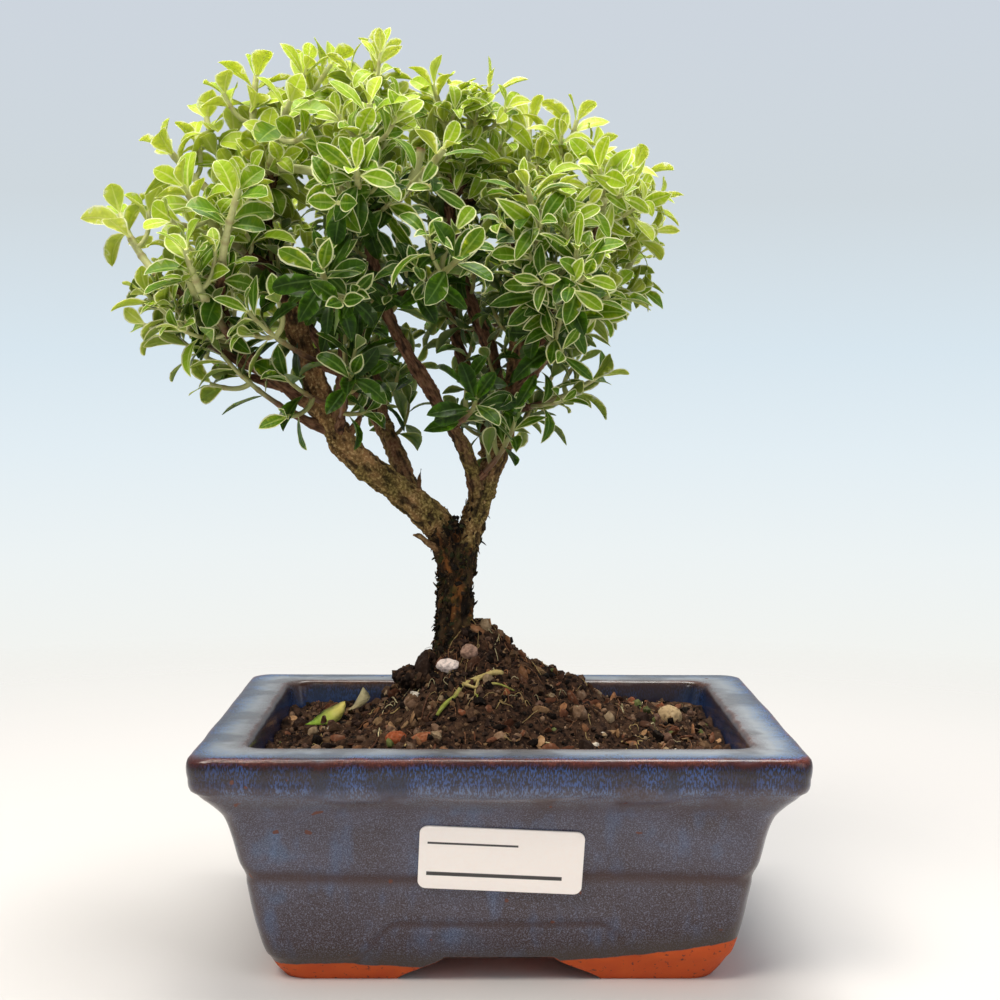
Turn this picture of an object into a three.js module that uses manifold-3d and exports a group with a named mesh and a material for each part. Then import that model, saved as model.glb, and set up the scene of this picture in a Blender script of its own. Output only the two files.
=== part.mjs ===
// A serissa bonsai: a short trunk that forks into rising branches, variegated leafy shoots on a broad
// crown, dark potting soil heaped round the trunk, and a glazed rectangular pot on four corner feet.
// Millimetres, +Z up, +Y to the back. The tree is laid out from the middle of the pot's footprint, and the
// whole group is then moved so that the origin is the middle of the bounding box at the resting surface.

import * as THREE from "three";
import { mergeVertices } from "three/addons/utils/BufferGeometryUtils.js";
import Module from "manifold-3d";

const wasm = await Module();
wasm.setup();

// ---------------------------------------------------------------- driving dimensions

const POT = { width: 150, depth: 120, height: 60, cornerRadius: 5, floorTop: 12 };
const FOOT = { height: 6.8, ringWidth: 12, recess: 6.3, frontArch: [13.5, 25.5], sideArch: [9, 18] };
const CORNER_STEPS = 3;
const DRAIN = { radius: 5.5, spacing: 56, sides: 14 };
const LABEL = {
  width: 40,
  height: 16.5,
  thickness: 0.6,
  corner: 2,
  middle: [0.3, 33.3],
  lean: 11,
  roll: -2.7,
  clearance: 0.38,
};
const SEAT_GAP = 0.3; // clearance where two pieces touch
const TRUNK_GAP = 0.4; // clearance round the trunk in the soil
const BARK_RIDGE = 0.06; // how far the ridges swell a branch, as a share of its radius
const LEAF_GAP = 0.35; // least clearance between leaves of two shoots
const OWN_LEAF_GAP = 0.05; // least clearance between two pairs of leaves on one shoot
const SOIL_LEVEL = 54;
const SOIL_WALL_RINGS = [17, 46]; // heights where the soil's wall follows a bend of the pot's inside
const HEAP = { middle: -8, height: 22, left: 22, right: 40, front: 27, collar: 8, collarSpread: 9 };
const TRUNK_FOOT = new THREE.Vector3(-12, 0, 0);

const LEAF = { length: 12.8, width: 5.6, rise: 0.33, keel: 0.77, curl: 0.25 };
const SHOOT = { length: 25, radius: 0.95, tipRadius: 0.6, sides: 4 };
const SIDE_SHOOT = { length: 10.5, fromTip: 11.5, lean: 48, bow: 0.45, radius: 0.75, tipRadius: 0.6 };
const TWIG = { least: 4, radius: 1.5, endRadius: 1.15 };
const STUMP = { radius: 1.05, sides: 6, from: 0.06 };
const LEAF_START = 0.1; // from a stem's middle out to the root point of a leaf
const WELD = { joined: 0.1, cut: 0.05 }; // edges shorter than this are closed up afterwards

// ---------------------------------------------------------------- small tools

const UP = new THREE.Vector3(0, 0, 1);
const point = ([x, y, z]) => new THREE.Vector3(x, y, z);
const degrees = THREE.MathUtils.degToRad;

// Whether two solids stand so far apart that their bounding boxes already show it.
function apart(a, b) {
  const [p, q] = [a.boundingBox(), b.boundingBox()];
  return [0, 1, 2].some((i) => p.min[i] - LEAF_GAP > q.max[i] || q.min[i] - LEAF_GAP > p.max[i]);
}

function clearOf(body, others, gap) {
  return others.every((other) => apart(body, other) || body.minGap(other, gap) >= gap);
}

// A repeatable number from 0 to 1 for a pair of whole numbers, by mixing their bits.
function draw(seed, index) {
  let h = (Math.imul(seed, 374761393) + Math.imul(index, 668265263)) | 0;
  h = Math.imul(h ^ (h >>> 13), 1274126177);
  return ((h ^ (h >>> 16)) >>> 0) / 4294967296;
}

// A closed mesh through rings of points, capped at both ends. A ring of one point is a tip.
function loft(rings) {
  const positions = rings.flat().flatMap((p) => [p.x, p.y, p.z]);
  const starts = [];
  let count = 0;
  for (const ring of rings) {
    starts.push(count);
    count += ring.length;
  }
  const faces = [];
  const band = (lower, upper) => {
    const sides = Math.max(rings[lower].length, rings[upper].length);
    const at = (ring, i) => starts[ring] + (i % rings[ring].length);
    for (let i = 0; i < sides; i++) {
      const [a, b] = [at(lower, i), at(lower, i + 1)];
      const [c, d] = [at(upper, i), at(upper, i + 1)];
      if (a !== b) faces.push(a, b, d);
      if (c !== d) faces.push(a, d, c);
    }
  };
  for (let r = 0; r + 1 < rings.length; r++) band(r, r + 1);
  const fan = (ring, turn) => {
    const hub = starts[ring];
    for (let i = 1; i + 1 < rings[ring].length; i++) faces.push(hub, hub + i + turn, hub + i + 1 - turn);
  };
  fan(0, 1);
  fan(rings.length - 1, 0);
  return new THREE.BufferGeometry()
    .setAttribute("position", new THREE.Float32BufferAttribute(positions, 3))
    .setIndex(faces);
}

// A three.js geometry as a solid that can be joined and cut.
function solid(geometry) {
  const bare = geometry.clone();
  bare.deleteAttribute("normal");
  bare.deleteAttribute("uv");
  const merged = mergeVertices(bare, 1e-4);
  return new wasm.Manifold(
    new wasm.Mesh({
      numProp: 3,
      vertProperties: new Float32Array(merged.attributes.position.array),
      triVerts: new Uint32Array(merged.index.array),
    }),
  );
}

// A solid as a three.js geometry.
function geometryOf(body) {
  const mesh = body.getMesh();
  return new THREE.BufferGeometry()
    .setAttribute("position", new THREE.BufferAttribute(mesh.vertProperties, 3))
    .setIndex(new THREE.BufferAttribute(mesh.triVerts, 1));
}

const tidied = (body, weld) => body.asOriginal().simplify(weld);
const joined = (bodies) => tidied(wasm.Manifold.union(bodies), WELD.joined);
const without = (body, cuts) => tidied(cuts.reduce((rest, cut) => rest.subtract(cut), body), WELD.cut);

// Two directions square to a tangent: the first leans to the reference, the second completes the frame.
function frameOf(tangent, reference) {
  const normal = reference.clone().addScaledVector(tangent, -reference.dot(tangent)).normalize();
  return { normal, across: tangent.clone().cross(normal) };
}

// A ring of points round a centre, square to the tangent.
function ringAt(centre, tangent, reference, radius, sides, bulge = () => 1) {
  const { normal, across } = frameOf(tangent, reference);
  return Array.from({ length: sides }, (_, i) => {
    const angle = (2 * Math.PI * i) / sides;
    const reach = radius * bulge(angle);
    return centre
      .clone()
      .addScaledVector(normal, reach * Math.cos(angle))
      .addScaledVector(across, reach * Math.sin(angle));
  });
}

// A reference direction square to a chord, for carrying rings along a curve.
function sideways(chord) {
  const side = new THREE.Vector3().crossVectors(chord, UP);
  return side.length() > 0.05 * chord.length() ? side.normalize() : new THREE.Vector3(1, 0, 0);
}

// ---------------------------------------------------------------- pot

// How far the outside stands in from the rim's edge at each height: foot, skirt, waist line, neck and lip.
const POT_PROFILE = [
  [0, 20.5],
  [2.5, 18.8],
  [7, 16.4],
  [14, 14.2],
  [27.2, 12.1],
  [28.6, 11.2],
  [42.5, 8.5],
  [46.5, 5.6],
  [50, 2.2],
  [54, 0.3],
  [58.6, 0],
  [60, 1.2],
];
const POT_INSIDE = [
  [60, 12.2],
  [58.8, 13.4],
  [46, 15.5],
  [17, 20.4],
  [12, 24],
];

const heightProfile = (table) => (z) => {
  const next = table.findIndex(([height]) => height >= z);
  if (next <= 0) return table[Math.max(next, 0)][1];
  const [[z0, inset0], [z1, inset1]] = [table[next - 1], table[next]];
  return inset0 + ((inset1 - inset0) * (z - z0)) / (z1 - z0);
};
const insideInset = heightProfile([...POT_INSIDE].reverse());

// A rectangle with round corners at a height, its sides set in from the rim's edge.
function potRing(z, inset, shrink = 0, sideSteps = 0) {
  const halfWidth = POT.width / 2 - inset - shrink;
  const halfDepth = POT.depth / 2 - inset - shrink;
  const radius = Math.max(POT.cornerRadius + 0.1 * inset - shrink, 2);
  const arcs = [0, 1, 2, 3].map((corner) => {
    const sx = corner === 0 || corner === 3 ? 1 : -1;
    const sy = corner < 2 ? 1 : -1;
    return Array.from({ length: CORNER_STEPS + 1 }, (_, step) => {
      const angle = (Math.PI / 2) * (corner + step / CORNER_STEPS);
      const x = sx * (halfWidth - radius) + radius * Math.cos(angle);
      const y = sy * (halfDepth - radius) + radius * Math.sin(angle);
      return new THREE.Vector3(x, y, z);
    });
  });
  return arcs.flatMap((arc, corner) => {
    const [from, to] = [arc.at(-1), arcs[(corner + 1) % 4][0]];
    const side = Array.from({ length: sideSteps }, (_, i) => from.clone().lerp(to, (i + 1) / (sideSteps + 1)));
    return [...arc, ...side];
  });
}

// A channel right through the foot ring, flat on top, with an ogee at each side.
function footChannel([halfTop, halfBottom], length) {
  const shape = new THREE.Shape();
  const run = halfBottom - halfTop;
  const [low, middle, high] = [0.42, 0.62, 0.81].map((share) => halfBottom - share * run);
  const [lowZ, middleZ, highZ] = [0.24, 0.56, 0.85].map((share) => share * FOOT.height);
  shape.moveTo(-halfBottom, -1);
  shape.lineTo(halfBottom, -1);
  shape.lineTo(halfBottom, 0);
  shape.quadraticCurveTo(low, lowZ, middle, middleZ);
  shape.quadraticCurveTo(high, highZ, halfTop, FOOT.height);
  shape.lineTo(-halfTop, FOOT.height);
  shape.quadraticCurveTo(-high, highZ, -middle, middleZ);
  shape.quadraticCurveTo(-low, lowZ, -halfBottom, 0);
  const channel = new THREE.ExtrudeGeometry(shape, { depth: length, bevelEnabled: false, curveSegments: 2 });
  return channel.rotateX(Math.PI / 2).translate(0, length / 2, 0);
}

function potBody() {
  const outside = POT_PROFILE.map(([z, inset]) => potRing(z, inset));
  const inside = POT_INSIDE.map(([z, inset]) => potRing(z, inset));
  const frontToBack = solid(footChannel(FOOT.frontArch, POT.depth));
  const sideToSide = solid(footChannel(FOOT.sideArch, POT.width).rotateZ(Math.PI / 2));
  const footInset = POT_PROFILE[0][1] + FOOT.ringWidth;
  const recess = solid(loft([potRing(-1, footInset - 1), potRing(FOOT.recess, footInset + 1)]));
  const drains = [-1, 1].map((side) => {
    const hole = new THREE.CylinderGeometry(DRAIN.radius, DRAIN.radius, 2 * POT.floorTop, DRAIN.sides);
    return solid(hole.rotateX(Math.PI / 2).translate((side * DRAIN.spacing) / 2, 0, POT.floorTop));
  });
  return without(solid(loft([...outside, ...inside])), [frontToBack, sideToSide, recess, ...drains]);
}

// A thin blank paper label on the sloping front face.
function labelBody() {
  const { width, height, corner, thickness, lean, roll, clearance } = LABEL;
  const [middleX, middleZ] = LABEL.middle;
  const [x, y] = [width / 2, height / 2];
  const shape = new THREE.Shape();
  shape.moveTo(-x + corner, -y);
  shape.lineTo(x - corner, -y).quadraticCurveTo(x, -y, x, -y + corner);
  shape.lineTo(x, y - corner).quadraticCurveTo(x, y, x - corner, y);
  shape.lineTo(-x + corner, y).quadraticCurveTo(-x, y, -x, y - corner);
  shape.lineTo(-x, -y + corner).quadraticCurveTo(-x, -y, -x + corner, -y);
  const sheet = new THREE.ExtrudeGeometry(shape, { depth: thickness, bevelEnabled: false, curveSegments: 2 });
  const faceY = -POT.depth / 2 + heightProfile(POT_PROFILE)(middleZ) - clearance;
  sheet.rotateZ(degrees(roll)).rotateX(degrees(90 + lean));
  return solid(sheet.translate(middleX, faceY, middleZ));
}

// ---------------------------------------------------------------- wood

// Each branch has a number of sides and a route, whose points are x, y, z and the radius there.
const BRANCHES = {
  trunk: {
    sides: 9,
    route: [
      [-11, 1, 38, 9.4], [-12, 1, 58, 8.8], [-12.4, 0, 74, 6.1], [-12, 0, 88, 5.1], [-11.5, 0, 99, 5.1],
      [-11, 0, 106, 4.5],
    ],
  },
  leftMain: {
    sides: 7,
    route: [
      [-11.5, 0, 98, 4.8], [-16, 0, 110, 4.4], [-26.5, -4, 120, 4.1], [-39.5, -8, 131, 3.9],
      [-46.5, -11, 144, 3.6], [-51, -13, 157, 3.3], [-54.5, -14, 170, 3.4],
    ],
  },
  rightMain: {
    sides: 7,
    route: [
      [-10.5, 0, 100, 4.2], [-7, 1, 111.5, 3.4], [-4, 2, 121, 3.6], [-0.3, 3, 130.5, 3.4],
      [2.5, 3, 141, 3], [4.5, 3, 153, 2.7], [5, 2, 165, 2.4], [4, 0, 179, 2.1], [2, 0, 193, 1.5],
    ],
  },
  backCentre: {
    sides: 5,
    route: [
      [-10, 1, 99, 3.2], [-6, 10, 113, 2.8], [-3, 19, 127, 2.6], [-5, 28, 142, 2.3],
      [-11, 35, 158, 1.9], [-15, 39, 174, 1.5],
    ],
  },
  frontMiddle: {
    sides: 5,
    route: [
      [-5, 2, 118, 2.6], [-10, -5, 132.5, 2.3], [-19, -12, 148, 2.1], [-28, -16, 164, 1.9],
      [-33, -19, 180, 1.7], [-34, -19, 195, 1.4],
    ],
  },
  backRight: {
    sides: 5,
    route: [
      [0, 2.5, 131, 2.8], [-0.5, 8, 144, 2.5], [-2, 12, 157, 2.3], [-6.5, 16, 168, 2],
      [-11, 18, 182, 1.8], [-14, 16, 198, 1.4],
    ],
  },
  leftRear: {
    sides: 5,
    route: [
      [-22, -1, 116, 2.9], [-26.5, 8, 126, 2.6], [-31, 13, 136, 2.4], [-34, 17, 147, 2.2],
      [-38, 22, 163, 1.9], [-40, 20, 180, 1.7], [-41, 14, 196, 1.4],
    ],
  },
  leftInner: {
    sides: 5,
    route: [
      [-44, -9.5, 137, 2.4], [-41, -14, 145, 2.1], [-40.3, -17, 155, 1.9], [-40.2, -19, 167, 1.7],
      [-40, -20, 177, 1.5],
    ],
  },
  leftLow: {
    sides: 5,
    route: [
      [-45.5, -10, 141, 2.5], [-53, -14, 146, 2.1], [-60.5, -17, 151.5, 1.8], [-67, -20, 159, 1.6],
      [-71, -22, 168, 1.3],
    ],
  },
  leftFar: {
    sides: 5,
    route: [
      [-60.5, -17, 152, 1.9], [-69.5, -17, 160, 1.7], [-77.5, -16, 167, 1.5], [-84.5, -14, 173, 1.3],
    ],
  },
  leftTop: {
    sides: 5,
    route: [
      [-52.5, -13.5, 161, 2], [-58, -9, 174, 1.7], [-61, -6, 186, 1.5], [-61, -5, 198, 1.3],
    ],
  },
  backLeft: {
    sides: 5,
    route: [
      [-31, 13, 136, 2.1], [-40, 21, 147, 1.8], [-50, 27, 159, 1.6], [-58, 31, 172, 1.3],
    ],
  },
  backRightFar: {
    sides: 5,
    route: [
      [-3, 20, 128, 2.1], [3, 25, 142, 1.8], [9, 29, 156, 1.6], [14, 31, 171, 1.3],
    ],
  },
  rightFar: {
    sides: 5,
    route: [
      [3.8, 3, 148, 2.2], [12, 4, 160, 1.9], [19, 4, 172, 1.6], [24, 3, 186, 1.3],
    ],
  },
  rightFront: {
    sides: 5,
    route: [
      [2.2, 3, 139, 2.2], [5, -3, 147, 1.9], [8.5, -9, 156, 1.6], [10, -18, 165, 1.3],
    ],
  },
};

const branchCurve = ({ route }) => new THREE.CatmullRomCurve3(route.map(point), false, "catmullrom", 0.5);

// A tube along a branch, swollen by three lengthwise ridges.
function branchBody({ sides, route }, grow = 0) {
  const curve = branchCurve({ route });
  const reference = sideways(point(route.at(-1)).sub(point(route[0])));
  const bulge = (angle) => 1 + BARK_RIDGE * Math.cos(3 * angle);
  const rings = route.map(([, , , radius], i) => {
    const t = i / (route.length - 1);
    return ringAt(curve.getPoint(t), curve.getTangent(t), reference, radius + grow, sides, bulge);
  });
  return solid(loft(rings));
}

// ---------------------------------------------------------------- where the shoots grow

// The middle of each leafy shoot's end rosette, from the left of the crown to the right, front to back.
const SHOOT_TIPS = [
  [-100, -5, 193], [-87, -8, 210], [-78, 0, 219], [-64, -5, 229], [-52, -32, 218], [-45, 0, 233],
  [-32, -12, 232], [-18, 0, 228], [-3, 3, 228], [20, -5, 218], [36, 1, 206], [37, 6, 184],
  [29, -12, 173], [15, -30, 166], [27, 6, 151], [-6, -27, 145], [4, -10, 139], [-54, -27, 150],
  [-71, -22, 156], [-85, -9, 161], [-90, -20, 171], [-80, -25, 198], [-63, -44, 195], [-32, -40, 216],
  [-14, -42, 205], [-34, -57, 198], [6, -44, 196], [24, -32, 202], [18, -46, 181], [-10, -55, 178],
  [-42, -56, 175], [-62, -38, 166], [-36, -34, 157], [-77, -38, 181], [8, 18, 222], [-86, 26, 194],
  [-66, 38, 206], [-46, 27, 226], [-20, 33, 223], [9, 38, 209], [30, 30, 194], [-40, 55, 189],
  [-11, 57, 190], [17, 49, 175], [-66, 46, 171], [-34, 49, 160], [5, 36, 153],
];
const REACH = 34; // the length from a branch to a rosette that a shoot and its twig prefer
const LOW_SHOOTS = { below: 152, reach: 22 }; // the short ones at the crown's foot
const LANDINGS_PER_SPAN = 3;
const LANDING_TRIES = 12;
const LANDING_DROP = 8; // how far below its rosette a landing should lie
const HIGH_COST = 1.5; // how much a millimetre above that weighs against one of reach
const CROWN_MIDDLE = new THREE.Vector3(-30, 0, 165);
const BOW = { outward: 0.13, down: 0.07 }; // how far a shoot bends aside, as a share of its reach

// Stems that were pruned back: which shoot they stand on, and where the cut face is.
const PRUNED = new Map([
  [4, [-38.7, -26, 198]],
  [24, [-20, -29, 207]],
  [33, [-79.5, -26, 180]],
]);

// Points along every branch that a twig may leave from.
function landings() {
  return Object.values(BRANCHES).flatMap((branch) => {
    const curve = branchCurve(branch);
    const steps = (branch.route.length - 1) * LANDINGS_PER_SPAN;
    return Array.from({ length: steps }, (_, i) => curve.getPoint((i + 1) / steps));
  });
}

// The landings that suit a tip, best first: below it, and at about the preferred reach from it.
function landingsFor(tip, spots) {
  const reach = tip.z < LOW_SHOOTS.below ? LOW_SHOOTS.reach : REACH;
  const tooHigh = (spot) => Math.max(0, spot.z + LANDING_DROP - tip.z);
  const cost = (spot) => Math.abs(spot.distanceTo(tip) - reach) + HIGH_COST * tooHigh(spot);
  return [...spots].sort((a, b) => cost(a) - cost(b)).slice(0, LANDING_TRIES);
}

// The path from a landing to a tip: a quadratic curve that bows away from the crown's middle.
function shootPath(start, tip) {
  const reach = start.distanceTo(tip);
  const outward = tip.clone().sub(CROWN_MIDDLE).setZ(0).normalize();
  const bend = start
    .clone()
    .lerp(tip, 0.5)
    .addScaledVector(outward, BOW.outward * reach)
    .addScaledVector(UP, -BOW.down * reach);
  return new THREE.QuadraticBezierCurve3(start, bend, tip);
}

// A tapered tube along a curve, with a ring at each of the curve's parameters that are given.
function taper(curve, stations, r0, r1, sides) {
  const reference = sideways(curve.getPoint(1).sub(curve.getPoint(0)));
  const [first, last] = [stations[0], stations.at(-1)];
  const rings = stations.map((t) => {
    const radius = THREE.MathUtils.mapLinear(t, first, last, r0, r1);
    return ringAt(curve.getPoint(t), curve.getTangent(t), reference, radius, sides);
  });
  return solid(loft(rings));
}

// ---------------------------------------------------------------- leaves

// Breadth of the blade, as a share of its half width, at shares of its length.
const BLADE = [
  [0.34, 0.95],
  [0.68, 0.92],
];

// A pointed blade with a flat face, a keel under its midrib, and a slight backward curl.
// The root lies in the stem's core, so that the blade is sunk well in.
function blade(root, stemDirection, outward, lean, length, width, grow = 0) {
  const across = stemDirection.clone().cross(outward);
  const base = root.clone().addScaledVector(outward, LEAF_START);
  const midribAt = (share) => {
    const angle = lean + LEAF.curl * share;
    const reach = (length + 4 * grow) * share - 2 * grow;
    const [forward, sideward] = [Math.cos(angle), Math.sin(angle)];
    const along = stemDirection.clone().multiplyScalar(forward).addScaledVector(outward, sideward);
    const face = stemDirection.clone().multiplyScalar(sideward).addScaledVector(outward, -forward);
    return { centre: base.clone().addScaledVector(along, reach), face };
  };
  const ring = ([share, breadth]) => {
    const { centre, face } = midribAt(share);
    const half = (breadth * width) / 2 + grow;
    const edge = centre.clone().addScaledVector(face, LEAF.rise + grow);
    return [
      edge.clone().addScaledVector(across, -half),
      centre.clone().addScaledVector(face, -LEAF.keel - grow),
      edge.clone().addScaledVector(across, half),
    ];
  };
  return loft([[midribAt(0).centre], ...BLADE.map(ring), [midribAt(1).centre]]);
}

// Pairs of opposite leaves, from a stem's tip down: distance from the tip, lean from the stem, size.
const MAIN_PAIRS = [
  [0.8, 24, 0.68],
  [3.4, 46, 0.92],
  [8.6, 62, 1.0],
];
const SIDE_PAIRS = [
  [0.6, 28, 0.62],
  [3.2, 52, 0.82],
];
// How far leaves stray from the rule: turn and lean in degrees, and length as a share.
const STRAY = { turn: 24, lean: 12, length: 0.2 };

// Ways to ease a leaf that would touch its neighbours: a turn round the stem, and a smaller size.
const EASINGS = [1, 0.84, 0.7].flatMap((size) => [0, 22, -22, 44, -44].map((turn) => ({ size, turn })));

// The leaves that a stem carries, each with its place, its directions and its size.
function leafPlaces(curve, length, pairs, seed) {
  const reference = sideways(curve.getPoint(1).sub(curve.getPoint(0)));
  const firstTurn = 90 * draw(seed, 1);
  return pairs.flatMap(([distance, lean, size], pair) => {
    const t = 1 - distance / length;
    const tangent = curve.getTangent(t);
    const { normal, across } = frameOf(tangent, reference);
    return [0, 180].map((side) => ({
      root: curve.getPoint(t),
      tangent,
      normal,
      across,
      turn: firstTurn + 90 * pair + side + STRAY.turn * (draw(seed, 10 + pair) - 0.5),
      lean: degrees(lean + STRAY.lean * (draw(seed, 20 + 2 * pair + side / 180) - 0.5)),
      length: LEAF.length * size * (1 + STRAY.length * (draw(seed, 40 + 2 * pair + side / 180) - 0.5)),
      width: LEAF.width * (0.45 + 0.55 * size),
      pair,
    }));
  });
}

// Where a stem has its joints: the parameters of every pair of leaves but the one at the very tip.
const nodesOf = (pairs, length) => pairs.slice(1).map(([distance]) => 1 - distance / length).reverse();

function leafBody(place, easing) {
  const angle = degrees(place.turn + easing.turn);
  const outward = place.normal
    .clone()
    .multiplyScalar(Math.cos(angle))
    .addScaledVector(place.across, Math.sin(angle));
  const { root, tangent, lean, length, width } = place;
  return solid(blade(root, tangent, outward, lean, length * easing.size, width * easing.size));
}

// A side shoot's path, which leaves the main stem near its tip and turns to run along with it.
function sideShootPath(path, length, index) {
  const fork = 1 - SIDE_SHOOT.fromTip / length;
  const tangent = path.getTangent(fork);
  const { normal, across } = frameOf(tangent, sideways(path.getPoint(1).sub(path.getPoint(0))));
  const turn = degrees(90 * draw(index, 1) + 45 + 180 * Math.round(draw(index, 2)));
  const outward = normal.multiplyScalar(Math.cos(turn)).addScaledVector(across, Math.sin(turn));
  const from = path.getPoint(fork);
  const lean = degrees(SIDE_SHOOT.lean);
  const bend = from.clone().addScaledVector(outward, SIDE_SHOOT.bow * SIDE_SHOOT.length);
  const end = from
    .clone()
    .addScaledVector(outward, Math.sin(lean) * SIDE_SHOOT.length)
    .addScaledVector(tangent, Math.cos(lean) * SIDE_SHOOT.length);
  return new THREE.QuadraticBezierCurve3(from, bend, end);
}

// One leafy shoot: its woody twig on the branch, and its green stems with the places of their leaves.
function shootFrom(landing, tip, index) {
  const path = shootPath(landing, tip);
  const length = path.getLength();
  const green = Math.min(SHOOT.length, length - TWIG.least);
  const start = 1 - green / length;
  const woodEnd = start - SEAT_GAP / length;
  const twig = taper(path, [0, woodEnd], TWIG.radius, TWIG.endRadius, SHOOT.sides);
  const joints = [start, ...nodesOf(MAIN_PAIRS, length), 1];
  const stems = [taper(path, joints, SHOOT.radius, SHOOT.tipRadius, SHOOT.sides)];

  const sidePath = sideShootPath(path, length, index);
  const sideLength = sidePath.getLength();
  const sideJoints = [0, ...nodesOf(SIDE_PAIRS, sideLength), 1];
  stems.push(taper(sidePath, sideJoints, SIDE_SHOOT.radius, SIDE_SHOOT.tipRadius, SHOOT.sides));
  if (PRUNED.has(index)) {
    const stump = new THREE.LineCurve3(path.getPoint(start + STUMP.from), point(PRUNED.get(index)));
    stems.push(taper(stump, [0, 1], STUMP.radius, STUMP.radius, STUMP.sides));
  }
  const mainLeaves = leafPlaces(path, length, MAIN_PAIRS, 2 * index + 100);
  const sideLeaves = leafPlaces(sidePath, sideLength, SIDE_PAIRS, 2 * index + 101);
  for (const leaf of sideLeaves) leaf.pair += MAIN_PAIRS.length;
  return { twig, stem: joined(stems), leaves: [...mainLeaves, ...sideLeaves] };
}

// Plans every shoot in turn, each from the first landing that keeps its stems and twig clear of the others.
function planShoots(limbs) {
  const spots = landings();
  const plans = [];
  SHOOT_TIPS.map(point).forEach((tip, index) => {
    const tries = landingsFor(tip, spots).map((landing) => shootFrom(landing, tip, index));
    const stems = plans.map((plan) => plan.stem);
    const wood = [...limbs, ...plans.map((plan) => plan.twig)];
    const solids = [...wood, ...stems];
    const fits = ({ stem, twig }) => clearOf(stem, solids, LEAF_GAP) && clearOf(twig, stems, LEAF_GAP);
    plans.push(tries.find(fits) ?? tries[0]);
  });
  return plans;
}

// ---------------------------------------------------------------- soil and what lies on it

// The soil's height: level at the walls, heaped round the trunk, steep to the left, long to the right.
function soilHeight(x, y) {
  const { middle, height, left, right, front, collar, collarSpread } = HEAP;
  const spread = x < middle ? left : right;
  const heap = height * Math.exp(-Math.pow(Math.hypot((x - middle) / spread, y / front), 2.2));
  const ring = collar * Math.exp(-Math.pow(Math.hypot(x - middle, y) / collarSpread, 2));
  const clods = 0.8 * Math.sin(0.31 * x + 1.3) * Math.cos(0.37 * y) + 0.4 * Math.sin(0.7 * x - 0.55 * y);
  return SOIL_LEVEL + heap + ring + clods;
}

const SOIL_RINGS = 5;
const SOIL_SIDE_STEPS = 2;

function soilBody(cuts) {
  const wall = (z) => potRing(z, insideInset(z), SEAT_GAP, SOIL_SIDE_STEPS);
  const rim = wall(SOIL_LEVEL);
  const top = Array.from({ length: SOIL_RINGS }, (_, i) =>
    rim.map((edge) => {
      const spot = edge.clone().lerp(TRUNK_FOOT, i / SOIL_RINGS);
      return spot.setZ(soilHeight(spot.x, spot.y));
    }),
  );
  const summit = TRUNK_FOOT.clone().setZ(soilHeight(TRUNK_FOOT.x, TRUNK_FOOT.y));
  const walls = [POT.floorTop + SEAT_GAP, ...SOIL_WALL_RINGS].map(wall);
  return without(solid(loft([...walls, ...top, [summit]])), cuts);
}

// The plain hole that the trunk's foot stands in, a little wider and deeper than the foot.
function trunkHole() {
  const { sides, route } = BRANCHES.trunk;
  const [[x, y, z, radius], ...above] = route;
  return branchBody({ sides, route: [[x, y, z - SEAT_GAP, radius], ...above] }, TRUNK_GAP);
}

// Stones and husks: place on the soil, three radii, and fineness.
const STONES = {
  stone_tan: { at: [47, 4], radii: [3.4, 3.2, 3.1], detail: 1, colour: 0xa98f6c },
  stone_white: { at: [-13.5, -11], radii: [3.0, 2.4, 1.9], detail: 1, colour: 0xe2d3c9 },
  stone_buff: { at: [-7.8, -9.5], radii: [2.3, 2.0, 2.0], detail: 0, colour: 0xb9a08a },
  husk_left: { at: [-26.3, -28], radii: [2.9, 2.2, 2.0], detail: 0, colour: 0xa8562f },
  husk_right: { at: [-18.6, -31.5], radii: [3.5, 2.2, 1.9], detail: 0, colour: 0x9c5a3a },
};

const STONE_BUMP = [0.88, 1.08]; // least and greatest reach of a stone's surface, as a share of its radius
const STONE_RISE = 0.35; // how far a stone's middle stands above the soil, as a share of its height

function stoneBody({ at: [x, y], radii: [rx, ry, rz], detail }, seed, grow = 0) {
  const bare = new THREE.IcosahedronGeometry(1, detail).deleteAttribute("normal").deleteAttribute("uv");
  const ball = mergeVertices(bare);
  const place = ball.attributes.position;
  for (let i = 0; i < place.count; i++) {
    const bump = THREE.MathUtils.lerp(...STONE_BUMP, draw(seed, i));
    place.setXYZ(
      i,
      place.getX(i) * (rx * bump + grow),
      place.getY(i) * (ry * bump + grow),
      place.getZ(i) * (rz * bump + grow),
    );
  }
  return solid(ball.translate(x, y, soilHeight(x, y) + STONE_RISE * rz));
}

// Two shed leaves: place, heading in degrees and length.
const SHED = { rise: 0.9, lean: 14, width: 7.5 };
const SHED_LEAVES = {
  shed_leaf_yellow: { at: [-53, 4], heading: 25, length: 13, colour: 0xb7b23c },
  shed_leaf_pale: { at: [-42, 14], heading: 70, length: 11.5, colour: 0xb6a878 },
};

function shedLeafBody({ at: [x, y], heading, length }, grow = 0) {
  const along = new THREE.Vector3(Math.cos(degrees(heading)), Math.sin(degrees(heading)), 0);
  const root = new THREE.Vector3(x, y, soilHeight(x, y) + SHED.rise);
  return solid(blade(root, along, UP, degrees(SHED.lean), length, SHED.width, grow));
}

// A bare root that runs over the front of the heap, half sunk in it.
const ROOT = {
  route: [[1, -13], [-5, -14.5], [-9.5, -16], [-12, -20], [-16, -24]],
  rise: 0.5,
  radius: 0.75,
  endRadius: 0.5,
  sides: 5,
  steps: 6,
};

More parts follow.
